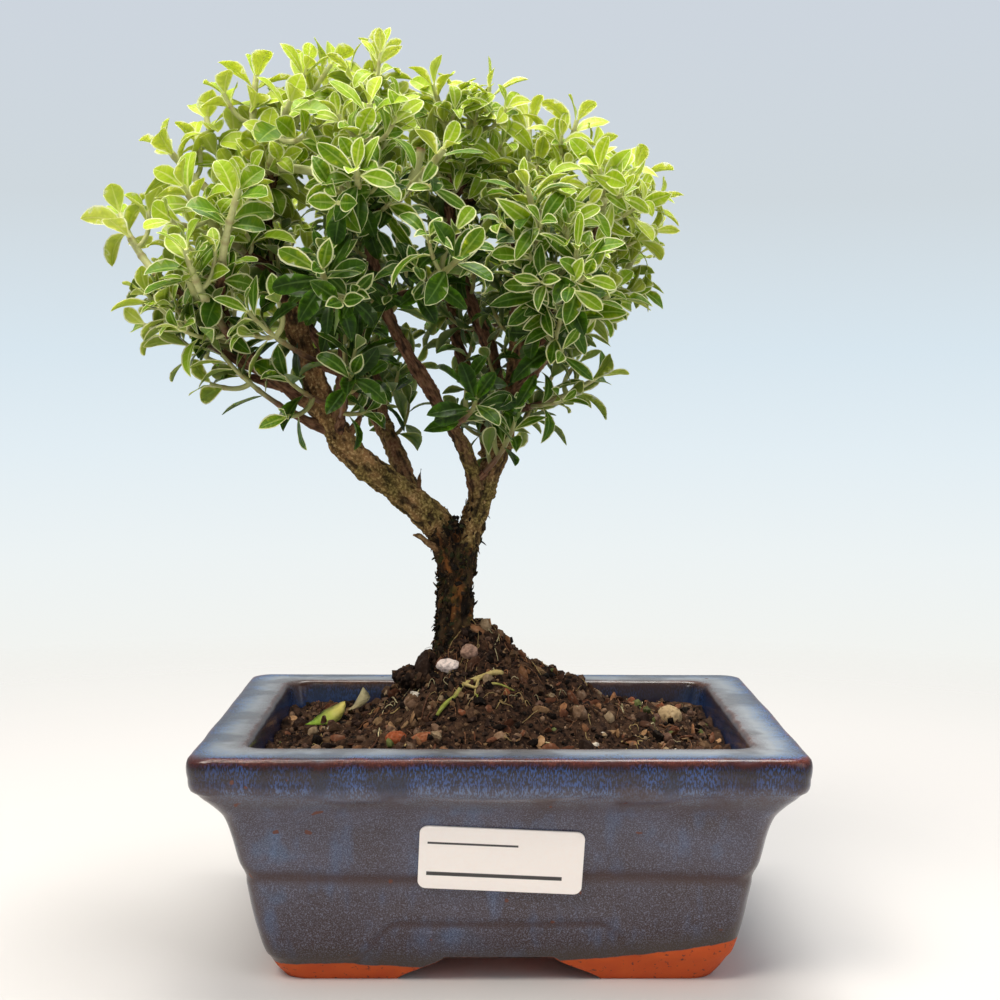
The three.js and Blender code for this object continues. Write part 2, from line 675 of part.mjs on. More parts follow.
function rootBody(grow = 0) {
  const { rise, radius, endRadius, sides, steps } = ROOT;
  const route = ROOT.route.map(([x, y]) => new THREE.Vector3(x, y, soilHeight(x, y) + rise));
  const stations = Array.from({ length: steps + 1 }, (_, i) => i / steps);
  return taper(new THREE.CatmullRomCurve3(route), stations, radius + grow, endRadius + grow, sides);
}

// ---------------------------------------------------------------- assembly

const FINISH = {
  glaze: { color: 0x4a5568, roughness: 0.22, metalness: 0 },
  bark: { color: 0x5e4430, roughness: 0.9, metalness: 0 },
  soil: { color: 0x2e211b, roughness: 1, metalness: 0 },
  paper: { color: 0xf2e8e0, roughness: 0.8, metalness: 0 },
  root: { color: 0xa8963f, roughness: 0.7, metalness: 0 },
};
const YOUNG_GREEN = new THREE.Color(0x9dbb3e);
const OLD_GREEN = new THREE.Color(0x2f5a2a);
const GREENING = [140, 220]; // the height from which shoots turn paler, and where they are palest

function meshOf(name, body, finish) {
  const mesh = new THREE.Mesh(geometryOf(body), new THREE.MeshStandardMaterial(finish));
  mesh.name = name;
  return mesh;
}

// Grows the leaves of every shoot in turn, each in the first easing that clears all that stands already.
function growLeaves(plans, wood) {
  const standing = plans.map((plan) => [plan.stem]);
  plans.forEach((plan, index) => {
    const others = () => [...wood, ...standing.filter((_, i) => i !== index).flat()];
    const own = [];
    for (const place of plan.leaves) {
      const neighbours = others();
      const relatives = own.filter((leaf) => leaf.pair !== place.pair).map((leaf) => leaf.body);
      for (const easing of EASINGS) {
        const body = leafBody(place, easing);
        if (clearOf(body, neighbours, LEAF_GAP) && clearOf(body, relatives, OWN_LEAF_GAP)) {
          own.push({ body, pair: place.pair });
          standing[index].push(body);
          break;
        }
      }
    }
  });
  return standing.map(joined);
}

const tree = new THREE.Group();

tree.add(meshOf("pot", potBody(), FINISH.glaze));
tree.add(meshOf("label", labelBody(), FINISH.paper));

const limbs = Object.values(BRANCHES).map((branch) => branchBody(branch));
const plans = planShoots(limbs);
const wood = joined([...limbs, ...plans.map((plan) => plan.twig)]);
tree.add(meshOf("wood", wood, FINISH.bark));

const loose = [];
const dimples = [trunkHole()];
Object.entries(STONES).forEach(([name, stone], i) => {
  loose.push(meshOf(name, stoneBody(stone, i + 1), { color: stone.colour, roughness: 0.85, metalness: 0 }));
  dimples.push(stoneBody(stone, i + 1, SEAT_GAP));
});
for (const [name, leaf] of Object.entries(SHED_LEAVES)) {
  loose.push(meshOf(name, shedLeafBody(leaf), { color: leaf.colour, roughness: 0.6, metalness: 0 }));
  dimples.push(shedLeafBody(leaf, SEAT_GAP));
}
loose.push(meshOf("bare_root", rootBody(), FINISH.root));
dimples.push(rootBody(SEAT_GAP));
tree.add(meshOf("soil", soilBody(dimples), FINISH.soil));
tree.add(...loose);

growLeaves(plans, [wood]).forEach((body, index) => {
  const youth = THREE.MathUtils.smoothstep(SHOOT_TIPS[index][2], ...GREENING);
  const color = OLD_GREEN.clone().lerp(YOUNG_GREEN, youth);
  const name = `leafy_shoot_${String(index + 1).padStart(2, "0")}`;
  tree.add(meshOf(name, body, { color, roughness: 0.45, metalness: 0 }));
});

// The origin is the middle of the bounding box, on the resting surface.
const extent = new THREE.Box3().setFromObject(tree);
const middle = extent.getCenter(new THREE.Vector3());
tree.position.set(-middle.x, -middle.y, -extent.min.z);

const bonsai = new THREE.Group();
bonsai.add(tree);

export default bonsai;
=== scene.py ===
"""A serissa bonsai in a glazed rectangular pot: the fine form and the finish of every piece.

Lengths are pot millimetres: the origin is the middle of the pot's footprint on the ground, X to the
right, Y to the back and Z up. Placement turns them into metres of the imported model's frame.
"""

import logging
import math
from collections.abc import Callable, Sequence
from dataclasses import dataclass, field, replace
from enum import Enum
from functools import partial
from itertools import combinations

import bpy
import numpy as np
from mathutils import Matrix, Vector


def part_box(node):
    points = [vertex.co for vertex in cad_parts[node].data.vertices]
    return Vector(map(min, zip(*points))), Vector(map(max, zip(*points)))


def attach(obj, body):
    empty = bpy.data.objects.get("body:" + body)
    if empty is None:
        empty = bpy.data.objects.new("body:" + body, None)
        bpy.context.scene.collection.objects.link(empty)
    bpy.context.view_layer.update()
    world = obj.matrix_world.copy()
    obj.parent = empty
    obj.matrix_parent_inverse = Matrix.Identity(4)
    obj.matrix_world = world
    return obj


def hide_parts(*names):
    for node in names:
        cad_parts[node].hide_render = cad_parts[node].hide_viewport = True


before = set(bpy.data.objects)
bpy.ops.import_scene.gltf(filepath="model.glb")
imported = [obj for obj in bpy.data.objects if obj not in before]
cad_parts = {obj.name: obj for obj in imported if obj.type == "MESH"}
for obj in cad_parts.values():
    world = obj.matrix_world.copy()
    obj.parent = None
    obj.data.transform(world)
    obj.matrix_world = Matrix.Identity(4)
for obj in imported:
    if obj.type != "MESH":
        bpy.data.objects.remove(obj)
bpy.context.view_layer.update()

Array = np.ndarray
Rng = np.random.Generator
Pair = tuple[float, float]
Triple = tuple[float, float, float]
log = logging.getLogger("serissa")

UP = np.array([0.0, 0.0, 1.0])
WORD = 0xFFFFFFFF  # 32 bits
FINE = np.linspace(0, 1, 201)
OCTAVE_SHIFT = 31.7  # keeps the lattices of a relief from lining up
DULL = 0.12  # the specular level of bark, soil and stone


# ---- numbers and curves


def draw(seed: int, index: int) -> float:
    """A repeatable number from 0 to 1 for two whole numbers: their mixed 32 bits over 2 to the power 32.

    Args:
        seed: a whole number.
        index: another.

    Returns:
        The number.
    """
    mixed = (seed * 374761393 + index * 668265263) & WORD
    mixed = ((mixed ^ (mixed >> 13)) * 1274126177) & WORD
    return ((mixed ^ (mixed >> 16)) & WORD) / (WORD + 1)


def smoothstep(low: float, high: float, value: Array) -> Array:
    """3t² - 2t³ of how far value has come from low to high, kept between 0 and 1."""
    t = np.clip((value - low) / (high - low), 0.0, 1.0)
    return t * t * (3 - 2 * t)


def unit(vectors: Array) -> Array:
    """The vectors at length one."""
    return vectors / np.maximum(np.linalg.norm(vectors, axis=-1, keepdims=True), 1e-12)


def relief(points: Array, size: float, seed: int, octaves: int = 3) -> Array:
    """Smooth random relief from about -1 to 1: values on a lattice, blended by fifth-power fades.

    Args:
        points: (..., 3) places.
        size: the spacing of the first lattice; each further octave halves spacing and height.
        seed: picks the values.
        octaves: how many lattices are added.

    Returns:
        One height for each place.
    """
    total = np.zeros(points.shape[:-1])
    for octave in range(octaves):
        place = points * (2.0**octave / size) + OCTAVE_SHIFT * octave
        cell = np.floor(place)
        part = place - cell
        fade = part**3 * (part * (part * 6 - 15) + 10)
        cell = cell.astype(np.int64)
        height = np.zeros_like(total)
        for corner in range(8):
            step = np.array([corner & 1, corner >> 1 & 1, corner >> 2])
            share = np.prod(np.where(step == 1, fade, 1 - fade), axis=-1)
            height += share * lattice(cell + step, seed + octave)
        total += 0.5**octave * height
    return total / (2.0 - 0.5 ** (octaves - 1)) * 1.5


def lattice(cells: Array, seed: int) -> Array:
    """A random number from -1 to 1 for each whole-numbered cell, by mixing the bits of its indices.

    Args:
        cells: (..., 3) cells.
        seed: picks the values.

    Returns:
        A value for each cell.
    """
    h = (cells[..., 0] * 73856093) ^ (cells[..., 1] * 19349663) ^ (cells[..., 2] * 83492791)
    h = (h + seed * 2654435761) & WORD
    h = ((h ^ (h >> 15)) * 2246822519) & WORD
    h = ((h ^ (h >> 13)) * 3266489917) & WORD
    return ((h ^ (h >> 16)) & 0xFFFFFF) / float(0x7FFFFF) - 1.0


def run_along(points: Array) -> Array:
    """How far along a row of places each one lies."""
    return np.concatenate([[0], np.cumsum(np.linalg.norm(np.diff(points, axis=0), axis=1))])


def follow(route: Array, t: Array) -> Array:
    """A uniform Catmull-Rom curve through the rows of a route, whose ends go on straight.

    Args:
        route: (n, k) rows, places and anything else that should run smoothly along.
        t: where on the curve, from 0 at the first row to 1 at the last.

    Returns:
        (len(t), k) rows.
    """
    padded = np.vstack([2 * route[0] - route[1], route, 2 * route[-1] - route[-2]])
    place = np.clip(t * (len(route) - 1), 0, len(route) - 1 - 1e-9)
    span = place.astype(int)
    u = (place - span)[:, None]
    p0, p1, p2, p3 = (padded[span + k] for k in range(4))
    square, cube = 2 * p0 - 5 * p1 + 4 * p2 - p3, 3 * p1 - p0 - 3 * p2 + p3
    return 0.5 * (2 * p1 + (p2 - p0) * u + square * u**2 + cube * u**3)


@dataclass(frozen=True)
class Bow:
    """A quadratic curve from start to end, drawn towards a pull point between them."""

    start: Array
    pull: Array
    end: Array

    def at(self, t: Array) -> Array:
        """(1-t)² start + 2t(1-t) pull + t² end, as (len(t), 3)."""
        t = np.atleast_1d(t)[:, None]
        return (1 - t) ** 2 * self.start + 2 * t * (1 - t) * self.pull + t * t * self.end

    def heading(self, t: Array) -> Array:
        """Unit tangents, along (1-t)(pull-start) + t(end-pull)."""
        t = np.atleast_1d(t)[:, None]
        return unit((1 - t) * (self.pull - self.start) + t * (self.end - self.pull))

    def length(self) -> float:
        """The length of two hundred chords."""
        return float(run_along(self.at(FINE))[-1])

    def rings(self, t: Array, reference: Array, radii: Array, sides: int) -> Array:
        """Rings round the curve at the places t, whose first vertex leans to the reference."""
        return ringed(self.at(t), self.heading(t), reference, radii, sides)

    def level(self) -> Array:
        """A level direction square to the curve's chord."""
        return sideways(self.end - self.start)


def sideways(chord: Array) -> Array:
    """A level unit direction square to a chord, or X where the chord stands upright."""
    side = np.cross(chord, UP)
    return unit(side) if np.linalg.norm(side) > 0.05 * np.linalg.norm(chord) else np.array([1.0, 0.0, 0.0])


def square_to(tangents: Array, reference: Array) -> tuple[Array, Array]:
    """Two directions square to each tangent: one leaning to the reference, one across it."""
    normal = unit(reference - (tangents @ reference)[..., None] * tangents)
    return normal, np.cross(tangents, normal)


def turned(normal: Array, across: Array, angle: Array) -> Array:
    """The direction at an angle from the normal towards the across direction."""
    return normal * np.cos(angle)[..., None] + across * np.sin(angle)[..., None]


# ---- surfaces


@dataclass
class Surface:
    """A triangle mesh in pot millimetres, with a three-part value on every vertex for each name."""

    points: Array
    faces: Array
    values: dict[str, Array]
    paint: Array | None = None  # for each face, which of the piece's materials it wears


def join(surfaces: list[Surface]) -> Surface:
    """Several surfaces, which have the same value names, as one mesh of separate shells.

    Args:
        surfaces: the shells.

    Returns:
        One mesh.
    """
    offsets = np.cumsum([0] + [len(s.points) for s in surfaces])
    return Surface(
        np.concatenate([s.points for s in surfaces]),
        np.concatenate([s.faces + o for s, o in zip(surfaces, offsets)]),
        {name: np.concatenate([s.values[name] for s in surfaces]) for name in surfaces[0].values},
    )


def painted(surfaces: list[Surface]) -> Surface:
    """Several surfaces as one mesh, of which each wears the next of the piece's materials."""
    paint = np.repeat(np.arange(len(surfaces)), [len(s.faces) for s in surfaces])
    return replace(join(surfaces), paint=paint)


def tube_faces(rings: int, sides: int) -> Array:
    """Triangles of a closed tube: bands between its rings, then fans to the middles of its two ends.

    They look outwards where rings run anticlockwise as seen from the last one.

    Args:
        rings: how many rings.
        sides: vertices in a ring.

    Returns:
        The triangles, of which the two middles are the last vertices.
    """
    side = np.arange(sides)
    after = (side + 1) % sides
    first = np.arange(rings - 1)[:, None] * sides
    a, b = first + side, first + after
    bands = np.stack([a, b, b + sides, a, b + sides, a + sides], axis=-1).reshape(-1, 3)
    middle = np.full(sides, rings * sides)
    last = middle - sides
    start = np.stack([middle, after, side], axis=-1)
    end = np.stack([middle + 1, last + side, last + after], axis=-1)
    return np.concatenate([bands, start, end])


def tube(rings: Array, values: dict[str, Array]) -> Surface:
    """A closed tube through rings of points, whose ends are fans round the middle of the end rings.

    Args:
        rings: (stations, sides, 3) places.
        values: values by name, which broadcast to them.

    Returns:
        The tube, with its two middles as the last vertices.
    """

    def flat(grid: Array) -> Array:
        """A grid row after row, then the means of its first and last ring."""
        grid = np.broadcast_to(grid, rings.shape)
        return np.vstack([grid.reshape(-1, 3), grid[0].mean(axis=0), grid[-1].mean(axis=0)])

    return Surface(flat(rings), tube_faces(*rings.shape[:2]), {name: flat(grid) for name, grid in values.items()})


def ringed(centres: Array, tangents: Array, reference: Array, radii: Array, sides: int) -> Array:
    """Rings square to a path.

    Args:
        centres: (n, 3) places on the path.
        tangents: (n, 3) unit directions of the path.
        reference: the direction that the first vertex of each ring leans to.
        radii: (n,) or (n, sides) distances from the path.
        sides: vertices in a ring.

    Returns:
        The rings as (n, sides, 3).
    """
    normal, across = square_to(tangents, reference)
    outward = turned(normal[:, None], across[:, None], np.linspace(0, 2 * np.pi, sides, endpoint=False))
    reach = radii[:, None] if radii.ndim == 1 else radii
    return centres[:, None] + outward * reach[..., None]


def raised(plan: Array, heights: Array) -> Array:
    """Rings of (x, y) places as (x, y, z), from one height for each ring or for each place."""
    z = heights[:, None] if heights.ndim == 1 else heights
    return np.concatenate([plan, np.broadcast_to(z, plan.shape[:2])[..., None]], axis=-1)


def repeated(points: Array, faces: Array, values: dict[str, Array]) -> Surface:
    """Many shells as one surface: the first shell's faces, counted on by its number of vertices.

    Args:
        points: (n, k, 3) places.
        faces: the first shell's triangles.
        values: (n, k, 3) values by name.

    Returns:
        One mesh.
    """
    count, size, _ = points.shape
    faces = faces[None] + (np.arange(count) * size)[:, None, None]
    flat = {name: grid.reshape(-1, 3) for name, grid in values.items()}
    return Surface(points.reshape(-1, 3), faces.reshape(-1, 3), flat)


def linked(name: str, data: bpy.types.ID) -> bpy.types.Object:
    """A new object in the scene, which shows the mesh, light or camera that is given."""
    bpy.context.scene.collection.objects.link(made := bpy.data.objects.new(name, data))
    return made


@dataclass(frozen=True)
class Placement:
    """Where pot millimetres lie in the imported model's frame."""

    shift: Array

    @classmethod
    def of_pot(cls) -> "Placement":
        """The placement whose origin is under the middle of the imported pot."""
        low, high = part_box("pot")
        return cls(np.array([(low.x + high.x) / 2, (low.y + high.y) / 2, low.z]))

    def metres(self, points: Array) -> Array:
        """Pot millimetres as metres of the frame."""
        return points * 0.001 + self.shift

    def millimetres(self, node: str) -> Array:
        """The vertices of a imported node, in pot millimetres.

        Args:
            node: its name.

        Returns:
            (n, 3) places.
        """
        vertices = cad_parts[node].data.vertices
        places = np.empty(3 * len(vertices), np.float32)
        vertices.foreach_get("co", places)
        return (places.reshape(-1, 3) - self.shift) * 1000.0

    def piece(
        self, name: str, surface: Surface, finishes: list["Finish"], slot: str, nodes: tuple[str, ...] = (),
        smooth: bool = True, crease: float = 180.0,
    ) -> bpy.types.Object:
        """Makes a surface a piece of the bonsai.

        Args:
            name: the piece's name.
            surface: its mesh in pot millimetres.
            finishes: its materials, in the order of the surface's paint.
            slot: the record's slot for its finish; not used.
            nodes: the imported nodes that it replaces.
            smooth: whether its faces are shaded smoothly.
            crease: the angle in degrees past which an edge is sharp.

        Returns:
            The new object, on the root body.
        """
        mesh = bpy.data.meshes.new(name)
        faces = surface.faces.astype(np.int32)
        mesh.vertices.add(len(surface.points))
        mesh.vertices.foreach_set("co", self.metres(surface.points).astype(np.float32).ravel())
        mesh.loops.add(faces.size)
        mesh.loops.foreach_set("vertex_index", faces.ravel())
        mesh.polygons.add(len(faces))
        mesh.polygons.foreach_set("loop_start", np.arange(0, faces.size, 3, dtype=np.int32))
        if surface.paint is not None:
            mesh.polygons.foreach_set("material_index", surface.paint.astype(np.int32))
        for label, values in surface.values.items():
            attribute = mesh.attributes.new(label, "FLOAT_VECTOR", "POINT")
            attribute.data.foreach_set("vector", values.astype(np.float32).ravel())
        mesh.update(calc_edges=True)
        mesh.polygons.foreach_set("use_smooth", np.full(len(faces), smooth))
        mesh.validate()
        if crease < 180:
            mesh.set_sharp_from_angle(angle=math.radians(crease))
        for finish in finishes:
            mesh.materials.append(finish.material())
        made = linked(name, mesh)
        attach(made, "root")
        if nodes:
            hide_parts(*nodes)
        log.info("%s: %d triangles", name, len(faces))
        return made


# ---- finishes

Socket = bpy.types.NodeSocket
Stops = Sequence[tuple[float, str]]
Add = Callable[..., Socket]  # add_node with its tree given
Coat = tuple[Socket, float, float, float, Socket | str]
AXES = range(3)


def linear(colour: str) -> tuple[float, float, float, float]:
    """An sRGB colour as the linear one that shaders take, by the standard curve.

    Args:
        colour: such as "#5b6673".

    Returns:
        Red, green, blue and 1.
    """
    parts = np.array([int(colour[i : i + 2], 16) / 255 for i in (1, 3, 5)])
    parts = np.where(parts <= 0.04045, parts / 12.92, ((parts + 0.055) / 1.055) ** 2.4)
    return (*parts.tolist(), 1.0)


def tint_of(colour: str) -> Array:
    """A colour's three linear parts."""
    return np.array(linear(colour)[:3])


def per_metre(size_mm: float) -> float:
    """The scale at which a pattern on metres repeats about every size_mm."""
    return 1000.0 / size_mm


def feed(socket: Socket, source: object) -> None:
    """Links an output to an input or sets it to a number, a vector or an sRGB colour; None leaves it.

    Args:
        socket: the input.
        source: what it gets.
    """
    if isinstance(source, bpy.types.NodeSocket):
        socket.id_data.links.new(source, socket)
    elif source is not None:
        socket.default_value = linear(source) if isinstance(source, str) else source


def add_node(
    tree: bpy.types.NodeTree, kind: str, *sources: object, out: int | str = 0, stops: Stops = (), **settings: object
) -> Socket:
    """Adds a node with its settings and links.

    Args:
        tree: the nodes of a material or of the world.
        kind: the node's type without "ShaderNode".
        *sources: what feeds its inputs, in their order, or one dict that names them.
        out: the wanted output.
        stops: the places and sRGB colours of a colour ramp.
        **settings: the node's own properties.

    Returns:
        The output.
    """
    node = tree.nodes.new(f"ShaderNode{kind}")
    for name, value in settings.items():
        setattr(node, name, value)
    named = sources[0].items() if sources and isinstance(sources[0], dict) else enumerate(sources)
    for key, source in named:
        feed(node.inputs[key], source)
    for number, (place, colour) in enumerate(stops):
        elements = node.color_ramp.elements
        element = elements[number] if number < len(elements) else elements.new(place)
        element.position, element.color = place, linear(colour)
    return node.outputs[out]


def coated(add: Add, ground: Socket | str, coats: list[Coat]) -> Socket:
    """Coats of colour over a ground, one after another.

    Args:
        add: adds a node.
        ground: the colour under them.
        coats: for each, a value, where it starts to show and is full, its cover there, and its colour.

    Returns:
        The colour on top.
    """
    for value, start, full, cover, colour in coats:
        ground = add("MixRGB", add("MapRange", value, start, full, 0.0, cover), ground, colour)
    return ground


def carried(add: Add, name: str) -> list[Socket]:
    """The three parts of a value that the vertices carry."""
    return list(add("SeparateXYZ", add("Attribute", out="Vector", attribute_name=name)).node.outputs)


@dataclass(frozen=True)
class Finish:
    """A material that is made once and shared by the pieces that wear it."""

    name: str

    def material(self) -> bpy.types.Material:
        """The finish's material, made at its first use.

        Returns:
            The material.
        """
        made = bpy.data.materials.get(self.name)
        if made is None:
            made = bpy.data.materials.new(self.name)
            made.use_nodes = True
            shader = made.node_tree.nodes["Principled BSDF"]
            add = partial(add_node, made.node_tree)
            for name, source in self.paint(add).items():
                if name == "Normal":
                    source = add("Bump", dict(zip(("Height", "Strength", "Distance"), source)))
                feed(shader.inputs[name], source)
        return made

    def paint(self, add: Add) -> dict[str, object]:
        """What feeds the shader's inputs, by name: for "Normal", a relief, its strength and its depth."""
        raise NotImplementedError


# Along the pot's profile, as shares: colours of the glaze, of its flecks and of where it ran thin, and how
# far they cover the speckled body. The dark stops at 0.395 paint the shadow under the collar moulding, and
# the pale greys of the rim top, 0.534 to 0.596, are the glaze's own grey with a painted reflection of the sky.
PROFILE_COLOURS = [
    (0.395, "#3a2f2c"), (0.412, "#4a4145"), (0.43, "#5c565e"), (0.446, "#443e49"), (0.46, "#1f1a25"),
    (0.472, "#17131d"), (0.494, "#170e13"), (0.504, "#35130f"), (0.514, "#5a2418"), (0.522, "#343a4c"),
    (0.534, "#5c6370"), (0.552, "#878e96"), (0.572, "#9ca0a2"), (0.596, "#858688"), (0.604, "#5f3f30"),
    (0.613, "#38231f"), (0.628, "#1f222e"), (0.66, "#223458"), (0.72, "#1b2236"),
]
FLECK_COLOURS = [
    (0.395, "#48424a"), (0.41, "#666b74"), (0.445, "#64779a"), (0.46, "#3a5690"), (0.494, "#2f4d86"),
    (0.503, "#47201a"), (0.512, "#804634"), (0.522, "#4a6fae"), (0.542, "#6b8cb6"), (0.568, "#949ca4"),
    (0.604, "#6a4a3c"), (0.614, "#4a3b3c"), (0.63, "#2c4677"), (0.7, "#243c68"),
]
WORN_COLOURS = [
    (0.395, "#412f2a"), (0.45, "#45322e"), (0.462, "#281719"), (0.494, "#20110f"), (0.506, "#40160f"),
    (0.522, "#4c4a50"), (0.54, "#565c66"), (0.596, "#6a6664"), (0.613, "#3a2018"), (0.7, "#1f1c26"),
]
PROFILE_COVER = [(0.385, "#000000"), (0.4, "#b0b0b0"), (0.42, "#e0e0e0"), (0.5, "#ffffff")]


@dataclass(frozen=True)
class GlazedStoneware(Finish):
    """Blue-grey reduction glaze over red stoneware: glossy, finely speckled, brown where it breaks thin.

    "glaze" holds a place's share of the profile, its height over the glaze line, and how dark it is made:
    painted shade in the moulded creases and under the collar, and brown where the glaze breaks at the corners.
    """

    # the sizes of its patterns
    speckle: float = 0.3
    flecks: float = 0.6
    run: float = 0.36
    pinholes: float = 2.6
    waves: float = 6.0
    mottle: float = 16.0
    streak: float = 7.0

    def paint(self, add: Add) -> dict[str, object]:
        """Speckled blue-grey by noise, dark and blue bands by the profile, bare clay below the glaze line, with
        painted shade in the creases and under the collar, and a painted sky reflection on the rim top.

        Args:
            add: adds a node.

        Returns:
            What feeds the shader's inputs.
        """
        where = add("TexCoord", out="Object")
        run, above, crease_shade_and_break = carried(add, "glaze")
        drips = add("Mapping", where, None, None, (1.0, 1.0, 0.35))
        speckle, flecks, pinholes, waves, mottle = (
            add("TexNoise", where, None, per_metre(size), detail)
            for size, detail in (
                (self.speckle, 1.0), (self.flecks, 2.0), (self.pinholes, 0.0), (self.waves, 2.0), (self.mottle, 3.0),
            )
        )
        streak = add("TexNoise", drips, None, per_metre(self.streak), 4.0)
        runs = add("TexNoise", drips, None, per_metre(self.run), 2.0)
        body = coated(add, "#42363a", [
            (mottle, 0.36, 0.62, 1.0, "#4e4a58"),
            (mottle, 0.6, 0.7, 0.5, "#4c7095"),
            (above, 28.0, 4.0, 0.9, "#392826"),
            (streak, 0.54, 0.76, 0.5, "#506a90"),
            (speckle, 0.5, 0.7, 0.4, "#8a90a8"),
            (speckle, 0.48, 0.3, 0.5, "#2b2125"),
            # dark brown: painted shade in the creases and under the collar, and the glaze breaking thin at the
            # corners
            (crease_shade_and_break, 0.15, 0.9, 0.75, "#3d2520"),
        ])
        ragged = add("Math", streak, 0.03, run, operation="MULTIPLY_ADD")
        ragged = add("Math", flecks, 0.014, ragged, operation="MULTIPLY_ADD")
        ragged = add("Math", ragged, 0.022, operation="SUBTRACT")
        band, fleck, worn, cover = (
            add("ValToRGB", ragged, stops=stops)
            for stops in (PROFILE_COLOURS, FLECK_COLOURS, WORN_COLOURS, PROFILE_COVER)
        )
        banded = coated(add, band, [
            (runs, 0.46, 0.6, 0.85, fleck),
            (streak, 0.5, 0.66, 0.8, band),
            (mottle, 0.52, 0.4, 0.75, worn),
        ])
        edge = add("Math", streak, 1.6, above, operation="MULTIPLY_ADD")
        glazed = coated(add, add("MixRGB", cover, body, banded), [
            (pinholes, 0.825, 0.845, 1.0, "#5e3022"),
            (edge, 6.5, 2.0, 0.7, "#3e342b"),
        ])
        clay = coated(add, "#b03a04", [
            (add("TexNoise", where, None, per_metre(5.0), 4.0), 0.0, 1.0, 1.0, "#cf5a12"),
            (add("TexNoise", where, None, per_metre(1.1), 3.0), 0.62, 0.7, 1.0, "#5a2a1c"),
        ])
        height = add("Math", flecks, 0.12, waves, operation="MULTIPLY_ADD")
        return {
            "Base Color": coated(add, clay, [(edge, 0.7, 0.95, 1.0, glazed)]),
            "Roughness": add("MapRange", edge, 0.7, 0.95, 0.74, 0.22),
            "Normal": (height, 0.25, 0.0008),
        }


@dataclass(frozen=True)
class Bark(Finish):
    """Flaking bark: black-brown on the trunk, tan and algae-green on the limbs, red-brown on twigs.

    "grain" holds the place round and along the limb, and "limb" its radius, its moss and how deep in
    the relief the place lies, which darkens the fissures as painted shade.
    """

    # the sizes of its patterns
    fibre: float = 0.65
    speck: float = 0.7
    flake: float = 2.1
    clump: float = 3.2
    strip: float = 3.6
    patch: float = 7.0

    def paint(self, add: Add) -> dict[str, object]:
        """Flakes and fibres by stretched noise, blended between three barks by the limb's radius, with painted
        shade in the fissures.

        Args:
            add: adds a node.

        Returns:
            What feeds the shader's inputs.
        """
        grain = add("Attribute", out="Vector", attribute_name="grain")
        radius, moss, depth = carried(add, "limb")
        stretched = add("Mapping", grain, None, None, (1.0, 1.0, 0.28))
        flakes, fibres, strips, patches, clumps, specks = (
            add("TexNoise", place, None, 1 / size, detail)
            for place, size, detail in (
                (stretched, self.flake, 4.0), (stretched, self.fibre, 3.0), (stretched, self.strip, 3.0),
                (grain, self.patch, 3.0), (grain, self.clump, 3.0), (grain, self.speck, 2.0),
            )
        )
        old = coated(add, "#1a130e", [
            (flakes, 0.38, 0.64, 1.0, "#4c3823"),
            (strips, 0.53, 0.64, 0.85, "#855229"),
            (specks, 0.62, 0.74, 0.45, "#a3804f"),
            (clumps, 0.52, 0.64, 0.7, "#343819"),
        ])
        grown = coated(add, "#5a4124", [
            (flakes, 0.36, 0.6, 1.0, "#98724a"),
            (specks, 0.52, 0.68, 0.7, "#cfae7a"),
            (specks, 0.38, 0.28, 0.8, "#281b0f"),
        ])
        twig = coated(add, "#482c20", [(fibres, 0.35, 0.65, 1.0, "#85604a")])
        algae = coated(add, "#4c4321", [(specks, 0.42, 0.66, 1.0, "#99864a")])
        mossy = add("Math", moss, add("MapRange", patches, 0.34, 0.6, 0.0, 0.85), operation="MULTIPLY")
        bark = coated(add, twig, [
            (radius, 1.9, 3.4, 1.0, grown),
            (mossy, 0.0, 1.0, 1.0, algae),
            (radius, 4.4, 5.0, 1.0, old),
            # near-black deep in the relief: painted shade in the fissures
            (depth, 0.0, -0.55, 0.8, "#17110c"),
        ])
        height = add("Math", fibres, 0.7, flakes, operation="MULTIPLY_ADD")
        return {
            "Base Color": bark,
            "Roughness": 0.88,
            "Specular IOR Level": DULL,
            "Normal": (height, 0.9, 0.0006),
        }


@dataclass(frozen=True)
class PottingSoil(Finish):
    """Damp peat: nearly black, dull and crumbly, with paler crumbs and bits of fibre."""

    crumb: float = 1.4

    def paint(self, add: Add) -> dict[str, object]:
        """Two browns by crumb-sized noise with pale grains, and strong fine bump.

        Args:
            add: adds a node.

        Returns:
            What feeds the shader's inputs.
        """
        where = add("TexCoord", out="Object")
        crumbs = add("TexNoise", where, None, per_metre(self.crumb), 4.0)
        peat = coated(add, "#150d09", [
            (crumbs, 0.36, 0.64, 1.0, "#493325"),
            (add("TexNoise", where, None, per_metre(11.0), 2.0), 0.5, 0.7, 0.5, "#584130"),
            (add("TexNoise", where, None, per_metre(self.crumb * 0.45), 1.0), 0.68, 0.76, 0.7, "#997b5f"),
        ])
        return {
            "Base Color": peat,
            "Roughness": 0.93,
            "Specular IOR Level": DULL,
            "Normal": (crumbs, 0.9, 0.0009),
        }


@dataclass(frozen=True)
class Tinted(Finish):
    """A dull natural piece whose colour its vertices carry in "tint", such as grit, husks and roots."""

    grain: float = 0.8
    contrast: float = 0.45
    pale: float = 0.2
    roughness: float = 0.88

    def paint(self, add: Add) -> dict[str, object]:
        """The carried colour, darkened and lightened by grain-sized noise.

        Args:
            add: adds a node.

        Returns:
            What feeds the shader's inputs.
        """
        where = add("TexCoord", out="Object")
        grain = add("TexNoise", where, None, per_metre(self.grain), 3.0)
        colour = coated(add, add("Attribute", out="Vector", attribute_name="tint"), [
            (grain, 0.52, 0.3, self.contrast, "#1d130d"),
            (grain, 0.55, 0.8, self.pale, "#d9c7ac"),
        ])
        return {
            "Base Color": colour,
            "Roughness": self.roughness,
            "Specular IOR Level": DULL,
            "Normal": (grain, 0.5, 0.0004),
        }
